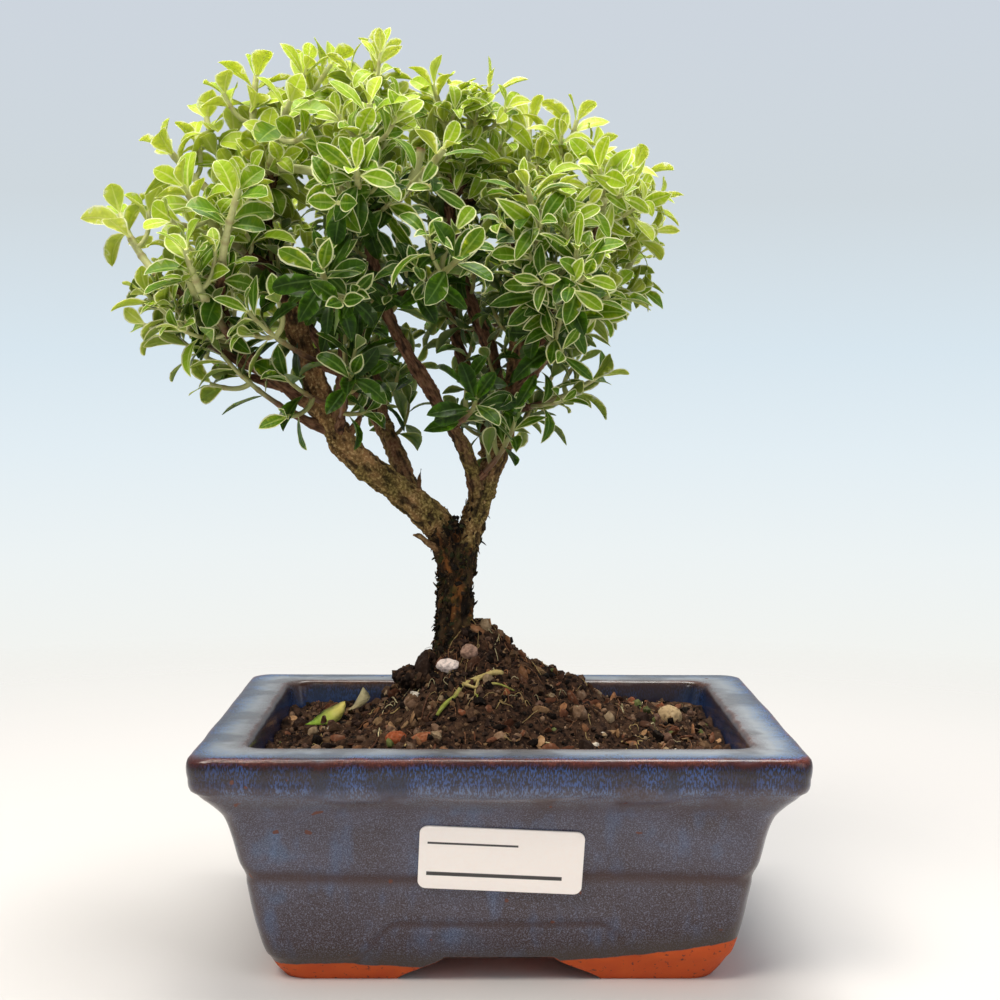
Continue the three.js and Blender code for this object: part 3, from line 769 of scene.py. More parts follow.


# From old and shaded to young and lit: a leaf's face, its underside, its veins and its margin. The old end also
# paints the shade inside the crown.
LEAF_GREENS = [(0.0, "#1a2f04"), (0.25, "#34590a"), (0.5, "#5a7f10"), (0.75, "#8fac1e"), (1.0, "#b9cd38")]
# The undersides' young end is brighter than the face: painted light shining through the blade, over the real paler
# underside.
UNDER_GREENS = [(0.0, "#61754a"), (0.25, "#7a8c4a"), (0.5, "#92a343"), (0.75, "#b3c052"), (1.0, "#cad566")]
VEIN_GREENS = [(0.0, "#46622b"), (0.25, "#6f8e3a"), (0.5, "#a4b857"), (0.75, "#cdd67c"), (1.0, "#e3e892")]
MARGIN_CREAMS = [(0.0, "#98a266"), (0.25, "#d3d596"), (0.5, "#e5e8a2"), (0.75, "#edf4a2"), (1.0, "#f1f7a8")]


@dataclass(frozen=True)
class VariegatedLeaf(Finish):
    """A serissa leaf: satin green with a narrow cream margin, lime when young, paler and dull beneath.

    "blade" holds the share of the leaf's length and the distances from its midrib and its margin, and
    "leaf" how young and lit it is, its own chance number, and its side, above 0 on the face and below 0 beneath.
    Leaves inside the crown get old, dark greens, which paint the shade there.
    """

    margin: float = 0.35

    def paint(self, add: Add) -> dict[str, object]:
        """Green by how young and lit a leaf is, dark inside the crown for painted shade, then side veins, underside,
        midrib and margin. The oldest, most shaded leaves have no margin.

        Args:
            add: adds a node.

        Returns:
            What feeds the shader's inputs.
        """
        share, middle, rim = carried(add, "blade")
        # The first part of "leaf" mixes real age with painted shade: leaves inside the crown get old, dark greens.
        youth_and_light, chance, side = carried(add, "leaf")
        cloud = add("TexNoise", add("TexCoord", out="Object"), None, per_metre(4.5), 2.0)
        stray = add("MapRange", chance, 0.0, 1.0, -0.17, 0.17)
        age = add("Math", youth_and_light, stray, operation="ADD")
        age = add("Math", age, add("MapRange", cloud, 0.0, 1.0, -0.15, 0.15), operation="ADD")
        face, under, vein, cream = (
            add("ValToRGB", age, stops=stops) for stops in (LEAF_GREENS, UNDER_GREENS, VEIN_GREENS, MARGIN_CREAMS)
        )
        slant = add("Math", middle, -2.1, add("Math", share, 42.0, operation="MULTIPLY"), operation="MULTIPLY_ADD")
        veins = add("Math", slant, operation="SINE")
        spread = add("Math", share, 0.4, middle, operation="MULTIPLY_ADD")
        rim = add("Math", rim, add("MapRange", cloud, 0.0, 1.0, -0.08, 0.08), operation="ADD")
        rim = add("Math", stray, -0.55, rim, operation="MULTIPLY_ADD")
        rim = add("Math", rim, add("MapRange", age, 0.2, 0.02, 0.0, 0.5), operation="ADD")
        green = coated(add, face, [
            (veins, 0.55, 1.0, 0.13, vein),
            (side, 0.02, -0.02, 0.8, under),
            (spread, 0.55, 0.3, 0.85, vein),
            (rim, self.margin * 1.1, self.margin * 0.75, 1.0, cream),
        ])
        groove = add("MapRange", middle, 0.35, 0.0, 0.0, -0.4)
        height = add("Math", veins, -0.12, groove, operation="MULTIPLY_ADD")
        return {
            "Base Color": green,
            "Subsurface Weight": 0.4,
            "Subsurface Radius": (1.0, 1.0, 0.35),
            "Subsurface Scale": 0.0009,
            "Roughness": add("MapRange", side, 0.02, -0.02, 0.36, 0.65),
            "Specular IOR Level": 0.13,
            "Normal": (height, 0.5, 0.0003),
        }


@dataclass(frozen=True)
class GreenStem(Finish):
    """A young serissa stem: smooth pale green, browner with age and down its length.

    "blade" holds how near a joint a place is, how far down the stem, and how near a cut end, and "leaf"
    how young and lit the tip is, low inside the crown for painted shade.
    """

    def paint(self, add: Add) -> dict[str, object]:
        """Green by how young and lit the tip is, darker inside the crown for painted shade, then brown down the
        stem, at joints and at a cut.

        Args:
            add: adds a node.

        Returns:
            What feeds the shader's inputs.
        """
        joint, down, cut = carried(add, "blade")
        youth_and_light = carried(add, "leaf")[0]
        fleck = add("TexNoise", add("TexCoord", out="Object"), None, per_metre(1.3), 3.0)
        aged = add("Math", fleck, 6.0, down, operation="MULTIPLY_ADD")
        aged = add("Math", youth_and_light, -16.0, aged, operation="MULTIPLY_ADD")
        green = coated(add, "#8d9050", [
            (youth_and_light, 0.1, 0.8, 1.0, "#cfd08e"),
            (fleck, 0.55, 0.75, 0.4, "#9f9058"),
            (aged, 8.0, 18.0, 1.0, "#6b4a33"),
            (joint, 0.0, 1.0, 0.5, "#8f6a3a"),
            (cut, 0.0, 1.0, 1.0, "#8d5a3c"),
        ])
        return {"Base Color": green, "Roughness": 0.5}


FOLIAGE = [VariegatedLeaf("variegated leaf"), GreenStem("green stem")]


@dataclass(frozen=True)
class LabelPaper(Finish):
    """A satin paper sticker, off-white and slightly warm, with two plain ruled lines.

    "sheet" holds the place across and up the label in millimetres. A rule is its left and right ends,
    its height and half its thickness.
    """

    rules: tuple[tuple[float, float, float, float], ...] = ((-18.0, 4.0, 3.9, 0.28), (-18.0, 15.0, -4.2, 0.5))

    def paint(self, add: Add) -> dict[str, object]:
        """Warm white with faint fibres, and dark where a place is near a rule both ways.

        Args:
            add: adds a node.

        Returns:
            What feeds the shader's inputs.
        """
        across, upward, _ = carried(add, "sheet")
        fibre = add("TexNoise", add("TexCoord", out="Object"), None, per_metre(0.9), 3.0)
        paper = coated(add, "#fff6ee", [(fibre, 0.3, 0.8, 0.5, "#fff0e5")])
        for left, right, height, half in self.rules:
            near = []
            for place, middle, reach in ((across, (left + right) / 2, (right - left) / 2), (upward, height, half)):
                away = add("Math", place, middle, operation="SUBTRACT")
                near.append(add("MapRange", add("Math", away, operation="ABSOLUTE"), reach + 0.06, reach - 0.06))
            paper = coated(add, paper, [(add("Math", *near, operation="MULTIPLY"), 0.0, 1.0, 1.0, "#3b3836")])
        return {"Base Color": paper, "Roughness": 0.42}


@dataclass(frozen=True)
class StudioPaper(Finish):
    """The pale sweep under the pot, which fades out towards its edge."""

    reach: float = 0.56

    def paint(self, add: Add) -> dict[str, object]:
        """Warm white, made clear with distance from the middle.

        Args:
            add: adds a node.

        Returns:
            What feeds the shader's inputs.
        """
        away = add("VectorMath", add("TexCoord", out="Object"), out="Value", operation="LENGTH")
        return {
            "Base Color": "#d7d3cf",
            "Roughness": 0.6,
            "Specular IOR Level": 0.2,
            "Alpha": add("MapRange", away, self.reach, self.reach * 0.35),
        }


# ---- pot


def chaikin(line: Array, rounds: int) -> Array:
    """A polyline with each corner cut at a quarter and three quarters of its sides, over and over.

    Args:
        line: (n, 2) places.
        rounds: how often.

    Returns:
        The rounder line.
    """
    for _ in range(rounds):
        before, after = line[:-1], line[1:]
        cut = np.stack([0.75 * before + 0.25 * after, 0.25 * before + 0.75 * after], axis=1).reshape(-1, 2)
        line = np.vstack([line[:1], cut, line[-1:]])
    return line


# The pot's heights and how far its wall stands in from the rim there, from the ground up and down again.
OUTSIDE_PROFILE = np.array([
    [0, 20.5], [2.5, 18.8], [7, 16.4], [14, 14.2], [27.2, 12.1], [28.6, 11.2],
    [42.5, 8.5], [46.5, 5.6], [50, 2.2], [54, 0.3], [58.6, 0], [60, 1.2],
])
INSIDE_PROFILE = np.array([[60, 12.2], [58.8, 13.4], [46, 15.5], [17, 20.4], [12, 24]])


@dataclass(frozen=True)
class PotWalls:
    """The pot's plan and profile, which the pot and the soil in it share."""

    width: float = 150.0
    depth: float = 120.0
    corner_radius: float = 5.0
    corner_steps: int = 8

    def ring(self, inset: Array, side_steps: tuple[int, int], shrink: float = 0.0) -> Array:
        """Rectangles with round corners, anticlockwise from above.

        Args:
            inset: (n,) how far each rectangle's sides stand in from the rim's edge.
            side_steps: how many places lie on the long sides and on the short ones, between corners.
            shrink: a clearance taken off all round.

        Returns:
            (n, places, 2) places, corner arcs and straight sides in turn.
        """
        half = np.array([self.width / 2, self.depth / 2]) - (inset + shrink)[:, None]
        radius = np.maximum(self.corner_radius + 0.1 * inset - shrink, 2.0)[:, None]
        arcs, rows = [], []
        for corner, sign in enumerate(np.array([[1, 1], [-1, 1], [-1, -1], [1, -1]])):
            angle = np.pi / 2 * (corner + np.linspace(0, 1, self.corner_steps + 1))
            arc = np.stack([np.cos(angle), np.sin(angle)], axis=-1)
            arcs.append((sign * (half - radius))[:, None] + radius[:, None] * arc)
        for corner in range(4):
            share = np.linspace(0, 1, side_steps[corner % 2] + 2)[1:-1, None]
            start, end = arcs[corner][:, -1:], arcs[(corner + 1) % 4][:, :1]
            rows += [arcs[corner], start + (end - start) * share]
        return np.concatenate(rows, axis=1)

    def inside_inset(self, z: Array) -> Array:
        """How far the inner wall stands in at a height."""
        return np.interp(z, *INSIDE_PROFILE[::-1].T)

    def half(self, z: Array) -> tuple[Array, Array]:
        """Half the outside width and half the outside depth at a height."""
        inset = np.interp(z, *OUTSIDE_PROFILE.T)
        return self.width / 2 - inset, self.depth / 2 - inset


WALLS = PotWalls()
FAR_ABOVE = 30.0  # a height over the glaze line at which the glaze is whole


@dataclass
class GlazedPot:
    """The rectangular pot on four corner feet, with its moulded relief and its bare clay foot."""

    placement: Placement
    foot_height: float = 6.8
    floor_top: float = 12.0
    front_arch: Pair = (13.5, 25.5)
    side_arch: Pair = (9.0, 18.0)
    ring_width: float = 12.0
    recess: float = 6.3
    drain_radius: float = 5.5
    drain_spacing: float = 56.0
    collar_height: float = 50.6
    waist_height: float = 28.0
    line_height: float = 16.5
    side_steps: tuple[int, int] = (84, 66)
    ring_spacing: float = 0.8

    def profile(self) -> tuple[Array, Array]:
        """Heights and insets from the foot over the rim to the floor, evenly spaced along the profile.

        Returns:
            (n, 2) heights and insets, and how far along each lies, as a share.
        """
        line = np.vstack([chaikin(OUTSIDE_PROFILE, 2), chaikin(INSIDE_PROFILE, 2)])
        run = run_along(line)
        even = np.linspace(0, run[-1], int(run[-1] / self.ring_spacing))
        return np.stack([np.interp(even, run, line[:, k]) for k in (0, 1)], axis=-1), even / run[-1]

    def relief(self, places: Array) -> tuple[Array, Array]:
        """The moulded lines of the walls: a cloud collar, a waist groove and a line over the arch.

        Args:
            places: (..., 3) places on the outside.

        Returns:
            How far each moves outwards, and how dark it is made: painted shade in the groove, in the crease and
            under the collar, and brown where the glaze breaks thin at the corners.
        """
        x, y, z = np.moveaxis(places, -1, 0)
        half_width, half_depth = WALLS.half(z)
        long_side = np.abs(y) / half_depth > np.abs(x) / half_width
        along = np.where(long_side, x, y * 1.25)
        reach = np.abs(along) / 60
        cloud = self.collar_height - 1.5 * smoothstep(0.42, 0.5, reach) + 1.7 * smoothstep(0.62, 0.78, reach)
        cloud -= 0.9 * np.cos(along / 60 * np.pi * 1.5) * (reach < 0.45)
        above = z - cloud
        collar = 0.8 * smoothstep(-0.5, 0.5, above) * (1 - smoothstep(0.5, 4.0, above))
        waist = self.waist_height + 0.4 * np.sin(along / 14.0)
        groove = np.exp(-(((z - waist) / 1.8) ** 2))
        top = np.where(long_side, 25.0, 18.0)
        arch = self.line_height - 10.5 * smoothstep(0, 1, (np.abs(along) - top) / 12.0)
        over = z - arch
        bead = 0.45 * smoothstep(-0.8, 0.6, over) * (1 - smoothstep(0.6, 7.0, over))
        crease = np.exp(-(((over + 0.6) / 1.0) ** 2)) * (np.abs(along) < top + 13)
        # a dark line just under the collar, painted as its shade
        under = np.exp(-(((above + 0.7) / 0.8) ** 2))
        from_corner = np.abs(x) - half_width - np.abs(y) + half_depth
        worn = 0.7 * np.exp(-((from_corner / 2.6) ** 2)) * (z < 46)
        return collar + bead - 0.6 * groove - 0.2 * crease, np.clip(groove + 0.8 * crease + under + worn, 0, 1)

    def glaze_line(self, places: Array) -> Array:
        """The height that the glaze ends at: low on the left, running up towards the right.

        Args:
            places: (..., 3) places.

        Returns:
            A height for each.
        """
        x, y = places[..., 0], places[..., 1]
        front = 4.2 + 6.6 * smoothstep(4, 60, x) + 0.7 * np.sin(x / 9.0)
        back = 4.4 + 0.9 * np.sin(x / 13.0)
        return back + (front - back) * smoothstep(40, -40, y)

    def shell(self) -> Surface:
        """The pot as profile rings from the foot's edge over the rim to its floor, closed at both ends.

        Returns:
            The uncut pot with its "glaze" values.
        """
        profile, share = self.profile()
        rings = raised(WALLS.ring(profile[:, 1], self.side_steps), profile[:, 0])
        z = rings[..., 2]
        outside = profile[:, 0].argmax()
        moved, crease_shade_and_break = self.relief(rings)
        on_wall = (np.arange(len(profile)) < outside - 8)[:, None]
        outward = unit(np.roll(rings, -1, axis=1) - np.roll(rings, 1, axis=1))[..., [1, 0, 2]] * [1, -1, 0]
        rings = rings + outward * (moved * on_wall)[..., None]
        wander = relief(rings, 26.0, 5, 2) * 0.3
        rings = rings + outward * (wander * smoothstep(2, 8, z))[..., None]
        shares = np.broadcast_to(share[:, None], z.shape)
        values = np.stack([shares, z - self.glaze_line(rings), crease_shade_and_break * on_wall], axis=-1)
        values[outside + 4 :, :, 1] = FAR_ABOVE
        return tube(rings, {"glaze": values})

    def channel(self, axis: int, half_top: float, half_bottom: float, length: float) -> Array:
        """The rings of a channel under the foot, whose half width shrinks upwards by a smooth step.

        Args:
            axis: 0 where it runs along X, 1 along Y.
            half_top: half its width at the top.
            half_bottom: half its width on the ground.
            length: its length.

        Returns:
            The outlines at its two ends.
        """
        rise = np.linspace(0, 1, 12)
        half = half_top + (half_bottom - half_top) * (1 - smoothstep(0, 1, rise) * 0.55 - rise * 0.45)
        right = np.vstack([[half_bottom, -2.0], np.stack([half, rise * self.foot_height], axis=-1)])
        outline = np.vstack([right, right[::-1] * [-1, 1]])
        rings = np.zeros((2, len(outline), 3))
        rings[..., 1 - axis], rings[..., 2] = outline.T
        rings[..., axis] = [[-length / 2], [length / 2]]
        return rings[::-1] if axis else rings

    def cutters(self) -> list[Surface]:
        """What the foot ring lacks: a channel each way with ogee sides, a recess, and two drain holes.

        Returns:
            Five closed shapes.
        """
        inset = OUTSIDE_PROFILE[0, 1] + self.ring_width
        recess = raised(WALLS.ring(np.array([inset - 1, inset + 1]), (2, 2)), np.array([-1.0, self.recess]))
        across = self.channel(1, *self.front_arch, WALLS.depth)
        grids = [across, self.channel(0, *self.side_arch, WALLS.width), recess]
        for sign in (-1, 1):
            foot = np.array([sign * self.drain_spacing / 2, 0, 0])
            drain = Bow(foot, foot + self.floor_top * UP, foot + 2 * self.floor_top * UP)
            grids.append(drain.rings(np.arange(2), np.array([1.0, 0, 0]), np.full(2, self.drain_radius), 28))
        return [tube(grid, {"glaze": np.array([0.0, -5.0, 0.0])}) for grid in grids]

    def build(self) -> None:
        """Cuts the foot out of the shell and keeps the result as the pot."""
        finish = GlazedStoneware("glazed stoneware")
        pot = self.placement.piece("glazed_pot", self.shell(), [finish], "glaze", ("pot",))
        tools = []
        for i, cutter in enumerate(self.cutters()):
            tool = self.placement.piece(f"cutter_{i}", cutter, [finish], "glaze")
            modifier = pot.modifiers.new(f"cut {i}", "BOOLEAN")
            modifier.operation, modifier.solver, modifier.object = "DIFFERENCE", "MANIFOLD", tool
            tools.append(tool)
        bpy.context.view_layer.update()
        graph = bpy.context.evaluated_depsgraph_get()
        done = pot.evaluated_get(graph)
        cut = bpy.data.meshes.new_from_object(done, preserve_all_data_layers=True, depsgraph=graph)
        pot.modifiers.clear()
        spent = [pot.data, *(tool.data for tool in tools)]
        pot.data = cut
        for tool in tools:
            bpy.data.objects.remove(tool)
        for mesh in spent:
            bpy.data.meshes.remove(mesh)
        log.info("pot with its foot cut out: %d faces", len(cut.polygons))


@dataclass
class PaperLabel:
    """The thin rounded sticker on the front wall."""

    placement: Placement
    width: float = 40.0
    height: float = 16.5
    thickness: float = 0.5
    edge: float = 0.08
    corner: float = 2.0
    middle: Pair = (0.3, 33.3)
    lean: float = 11.0
    roll: float = -2.7
    clearance: float = 0.38

    def build(self) -> None:
        """A sheet of nested rounded rectangles, thick at its edge, turned on to the wall."""
        walls = PotWalls(self.width, self.height, self.corner)
        shares = np.array([1.0, 1.0, 0.985, 0.5])
        depths = np.array([0.0, self.thickness - self.edge, self.thickness, self.thickness])
        flat = raised(walls.ring(np.zeros(4), (0, 0)) * shares[:, None, None], depths)
        sheet = tube(flat, {"sheet": flat})
        wall = WALLS.half(self.middle[1])[1]
        upright = Matrix.Rotation(math.radians(90 + self.lean), 3, "X")
        turn = upright @ Matrix.Rotation(math.radians(self.roll), 3, "Z")
        place = np.array([self.middle[0], -wall - self.clearance, self.middle[1]])
        sheet.points = sheet.points @ np.array(turn).T + place
        self.placement.piece("paper_label", sheet, [LabelPaper("label paper")], "paper", ("label",), smooth=False)


# ---- wood

# Each branch is rows of x, y, z and radius, from its root to its end.
BRANCHES = {
    "trunk": [
        [-11, 1, 38, 9.4], [-12, 1, 58, 8.8], [-12.4, 0, 74, 6.1], [-12, 0, 88, 5.1], [-11.5, 0, 99, 5.1],
        [-11, 0, 106, 4.5],
    ],
    "left_main": [
        [-11.5, 0, 98, 4.8], [-16, 0, 110, 4.4], [-26.5, -4, 120, 4.1], [-39.5, -8, 131, 3.9],
        [-46.5, -11, 144, 3.6], [-51, -13, 157, 3.3], [-54.5, -14, 170, 3.4],
    ],
    "right_main": [
        [-10.5, 0, 100, 4.2], [-7, 1, 111.5, 3.4], [-4, 2, 121, 3.6], [-0.3, 3, 130.5, 3.4], [2.5, 3, 141, 3],
        [4.5, 3, 153, 2.7], [5, 2, 165, 2.4], [4, 0, 179, 2.1], [2, 0, 193, 1.5],
    ],
    "back_centre": [
        [-10, 1, 99, 3.2], [-6, 10, 113, 2.8], [-3, 19, 127, 2.6], [-5, 28, 142, 2.3], [-11, 35, 158, 1.9],
        [-15, 39, 174, 1.5],
    ],
    "front_middle": [
        [-5, 2, 118, 2.6], [-10, -5, 132.5, 2.3], [-19, -12, 148, 2.1], [-28, -16, 164, 1.9], [-33, -19, 180, 1.7],
        [-34, -19, 195, 1.4],
    ],
    "back_right": [
        [0, 2.5, 131, 2.8], [-0.5, 8, 144, 2.5], [-2, 12, 157, 2.3], [-6.5, 16, 168, 2], [-11, 18, 182, 1.8],
        [-14, 16, 198, 1.4],
    ],
    "left_rear": [
        [-22, -1, 116, 2.9], [-26.5, 8, 126, 2.6], [-31, 13, 136, 2.4], [-34, 17, 147, 2.2], [-38, 22, 163, 1.9],
        [-40, 20, 180, 1.7], [-41, 14, 196, 1.4],
    ],
    "left_inner": [
        [-44, -9.5, 137, 2.4], [-41, -14, 145, 2.1], [-40.3, -17, 155, 1.9], [-40.2, -19, 167, 1.7],
        [-40, -20, 177, 1.5],
    ],
    "left_low": [
        [-45.5, -10, 141, 2.5], [-53, -14, 146, 2.1], [-60.5, -17, 151.5, 1.8], [-67, -20, 159, 1.6],
        [-71, -22, 168, 1.3],
    ],
    "left_far": [[-60.5, -17, 152, 1.9], [-69.5, -17, 160, 1.7], [-77.5, -16, 167, 1.5], [-84.5, -14, 173, 1.3]],
    "left_top": [[-52.5, -13.5, 161, 2], [-58, -9, 174, 1.7], [-61, -6, 186, 1.5], [-61, -5, 198, 1.3]],
    "back_left": [[-31, 13, 136, 2.1], [-40, 21, 147, 1.8], [-50, 27, 159, 1.6], [-58, 31, 172, 1.3]],
    "back_right_far": [[-3, 20, 128, 2.1], [3, 25, 142, 1.8], [9, 29, 156, 1.6], [14, 31, 171, 1.3]],
    "right_far": [[3.8, 3, 148, 2.2], [12, 4, 160, 1.9], [19, 4, 172, 1.6], [24, 3, 186, 1.3]],
    "right_front": [[2.2, 3, 139, 2.2], [5, -3, 147, 1.9], [8.5, -9, 156, 1.6], [10, -18, 165, 1.3]],
}
ROUTES = {name: np.array(rows, float) for name, rows in BRANCHES.items()}
# Dead stubs, as the radius that its finish goes by and such rows: a curved sliver left of the crotch, a
# frayed spur, a flap on the right, a splinter, two snags in the fork, and a spur on the left limb.
STUBS = [
    (2.6, [-15, -2, 104, 1.2], [-18.5, -3, 105.6, 0.9], [-21, -3.5, 107.8, 0.6], [-23, -4, 108.4, 0.2]),
    (2.4, [-20.5, -1, 114, 1.3], [-21.7, -1, 119, 0.8], [-21.4, -1.5, 123, 0.55], [-21, -2, 126, 0.2]),
    (5.5, [-6.6, 1, 114, 1.4], [-4.7, 0.5, 111, 0.9], [-3.9, 0.5, 109.2, 0.25]),
    (5.5, [-8.4, 0, 87.6, 0.8], [-6.8, -0.5, 89, 0.45], [-5.5, -1, 90.6, 0.12]),
    (3.6, [-13, 0, 108, 1.6], [-14.4, -1, 112, 1.0], [-14.8, -1.2, 115.8, 0.2]),
    (3.6, [-9.5, 0, 107, 1.5], [-8.8, -1, 111, 0.9], [-8.0, -1.2, 112.6, 0.25]),
    (2.4, [-40.5, -9, 134, 1.6], [-38.6, -9.5, 136.8, 1.2], [-37.2, -10, 138.8, 0.9], [-36.6, -10, 140.8, 0.25]),
]


def limb_surface(
    centres: Array, radii: Array, sides: int, seed: int, rough: float, moss: Array, thick: Array | None = None
) -> Surface:
    """A limb with bark in relief: three ridges, knots, and fissures that run lengthwise.

    Args:
        centres: (n, 3) places along the limb.
        radii: (n,) its radius there.
        sides: vertices round it.
        seed: picks the relief.
        rough: the depth of the relief.
        moss: (n,) how mossy it is, from 0 to 1.
        thick: (n,) the radius that its finish goes by, where that isn't its own.

    Returns:
        The limb as a closed tube with "grain" and "limb" values.
    """
    tangents = unit(np.gradient(centres, axis=0))
    angle = np.linspace(0, 2 * np.pi, sides, endpoint=False)
    around = np.stack([np.cos(angle), np.sin(angle)], axis=-1)
    grain = raised(radii[:, None, None] * around, run_along(centres))
    fissures = relief(grain * [1, 1, 0.42] + 17.0 * seed, 1.3, seed, 3)
    grains = relief(grain + 5.0 * seed, 0.8, seed + 3, 1)
    knots = relief(grain + 9.0 * seed, 5.0, seed + 7, 2)
    reach = radii[:, None] * (1 + 0.05 * np.cos(3 * angle) + 0.08 * knots) + rough * (fissures + 0.5 * grains)
    rings = ringed(centres, tangents, sideways(centres[-1] - centres[0]), reach, sides)
    limb = np.zeros_like(rings)
    limb[..., 0] = (radii if thick is None else thick)[:, None]
    limb[..., 1] = moss[:, None]
    # the depth in the relief, which the bark darkens as painted shade
    limb[..., 2] = fissures
    return tube(rings, {"grain": grain + 23.0 * seed, "limb": limb})


def path_points(route: Array, spacing: float) -> Array:
    """Rows of a route at an even spacing along its curve.

    Args:
        route: (n, k) rows.
        spacing: how far apart the new ones lie.

    Returns:
        The new rows.
    """
    fine = follow(route, np.linspace(0, 1, 400))
    run = run_along(fine[:, :3])
    even = np.linspace(0, run[-1], max(int(run[-1] / spacing), 4))
    return np.stack([np.interp(even, run, fine[:, k]) for k in range(fine.shape[1])], axis=-1)


@dataclass
class Wood:
    """Trunk, limbs and the twigs that carry the shoots, with shreds of bark and sawn stubs."""

    placement: Placement
    twigs: list[Bow]
    twig_ends: list[float]
    spacing: float = 0.45
    trunk_slimness: float = 0.86
    main_slimness: float = 0.9
    limb_slimness: float = 0.83
    root_swelling: float = 0.45
    swelling_length: float = 3.0
    twig_stations: int = 26
    twig_radii: Pair = (1.5, 1.1)
    shred_count: int = 340
    crust_count: int = 900

    def limbs(self) -> Surface:
        """Every branch as a limb, whose root swells into what it grows from.

        Returns:
            The limbs.
        """
        made = []
        for seed, (name, route) in enumerate(ROUTES.items()):
            rows = path_points(route, self.spacing * (1.0 if route[0, 3] > 4 else 1.3))
            centres, radii = rows[:, :3], rows[:, 3].copy()
            from_root = np.linspace(0, 1, len(rows)) * len(rows) * self.spacing
            if name == "trunk":
                radii *= self.trunk_slimness
            elif route[0, 3] > 4:
                radii *= self.main_slimness
            else:
                radii *= self.limb_slimness + self.root_swelling * np.exp(-from_root / self.swelling_length)
            wander = relief(centres, 9.0, seed + 40, 1)
            radii *= 1 + 0.06 * wander
            sides = int(np.clip(2 * np.pi * radii.max() / (self.spacing * 0.9), 14, 84))
            z = centres[:, 2]
            moss = smoothstep(84, 104, z) * (1 - smoothstep(126, 152, z)) * 0.8 + 0.15
            thick = radii.copy()
            if name == "trunk":
                thick += 1.5
            elif name in ("left_main", "right_main", "back_centre"):
                thick += 1.6 * (1 - smoothstep(100, 116, z))
            rough = 0.6 if name == "trunk" else 0.14 + 0.07 * radii[0]
            made.append(limb_surface(centres, radii, sides, seed + 1, rough, moss, thick))
        return join(made)

    def twig_surface(self) -> Surface:
        """Every twig, from its landing on a branch to where the green stem takes over.

        Returns:
            The twigs.
        """
        made = []
        for seed, (path, end) in enumerate(zip(self.twigs, self.twig_ends)):
            t = np.linspace(0, end, self.twig_stations)
            radii = self.twig_radii[0] + (self.twig_radii[1] - self.twig_radii[0]) * t / end
            radii *= 1 + 0.18 * np.exp(-(((np.linspace(0, 1, len(t)) - 0.55) / 0.06) ** 2))
            made.append(limb_surface(path.at(t), radii, 9, 60 + seed, 0.12, np.full(len(t), 0.15)))
        return join(made)

    def shreds(self) -> Surface:
        """Curled shreds and fibres of bark that stand off the trunk and the crotch.

        Returns:
            The shreds.
        """
        rng = np.random.default_rng(11)
        spans = {"trunk": slice(40, None), "left_main": slice(40), "right_main": slice(36)}
        rows = np.vstack([path_points(ROUTES[name], 0.5)[span] for name, span in spans.items()])
        made = []
        for _ in range(self.shred_count):
            row = rows[rng.integers(len(rows))]
            turn = rng.uniform(0, 2 * np.pi)
            outward = np.array([np.cos(turn), np.sin(turn), rng.uniform(-0.1, 0.35)])
            along = unit(np.array([rng.normal() * 0.5, rng.normal() * 0.5, rng.choice([-1.0, 1.0])]))
            along *= rng.uniform(0.7, 2.4)
            start = row[:3] + outward * (row[3] - 0.3)
            end = start + along + outward * rng.uniform(0.1, 0.7)
            path = Bow(start, start + along * 0.5 + outward * 0.6, end)
            radii = rng.uniform(0.16, 0.45) * np.array([0.8, 0.99, 0.65, 0.52, 0.15])
            rings = path.rings(np.linspace(0, 1, 5), unit(outward), radii, 5)
            # a random depth, so some shreds get the bark's painted fissure shade
            limb = np.array([5.6, rng.uniform(0, 0.6), rng.uniform(-0.6, 0.3)])
            made.append(tube(rings, {"grain": rings, "limb": limb}))
        return join(made)

    def crust(self) -> Surface:
        """Dark crumbs of moss and bark on the trunk, most on its left, and a shaggy clump in the fork.

        Returns:
            The crumbs.
        """
        rng = np.random.default_rng(12)
        rows = path_points(ROUTES["trunk"], 0.25)
        rows = rows[(rows[:, 2] > 74) & (rows[:, 2] < 108)]
        row = rows[rng.integers(len(rows), size=self.crust_count)]
        turn = np.pi + rng.normal(0, 1.2, self.crust_count)
        outward = np.stack([np.cos(turn), np.sin(turn), np.zeros_like(turn)], axis=-1)
        places = row[:, :3] + outward * (row[:, 3:] * 0.86 + rng.uniform(-0.3, 0.5, (self.crust_count, 1)))
        clump = rng.random(self.crust_count) < 0.25
        fork = rng.normal([-13.4, -1.0, 110.6], [2.1, 1.3, 1.2], (self.crust_count, 3))
        places = np.where(clump[:, None], fork, places)
        sizes = rng.uniform(0.2, 0.75, (self.crust_count, 1)) * rng.uniform(0.5, 1.4, (self.crust_count, 3))
        tints = tints_of({"#191511": 5, "#2a2119": 4, "#2c2f1a": 3, "#40301f": 2}, self.crust_count, rng)
        return lumps(places, sizes, tints, 0, 13, 0.5)

    def stubs(self) -> Surface:
        """The dead stubs, as short limbs.

        Returns:
            The stubs.
        """
        made = []
        for seed, (thick, *rows) in enumerate(STUBS):
            points = path_points(np.array(rows, float), 0.5)
            mossy, finish_radius = np.full((2, len(points)), [[0.35], [thick]])
            made.append(limb_surface(points[:, :3], points[:, 3], 10, 130 + seed, 0.3, mossy, finish_radius))
        return join(made)

    def build(self) -> None:
        """Keeps the limbs as the wood's piece, with twigs, shreds and stubs as pieces of their own."""
        bark = Bark("serissa bark")
        self.placement.piece("trunk_and_limbs", self.limbs(), [bark], "bark", ("wood",))
        for name, make in (("twigs", self.twig_surface), ("bark_shreds", self.shreds), ("dead_stubs", self.stubs)):
            self.placement.piece(name, make(), [bark], "bark")
        crust = Tinted("moss and bark crumbs", grain=0.5, pale=0.05)
        self.placement.piece("trunk_crust", self.crust(), [crust], "bark", smooth=False)


# ---- crown

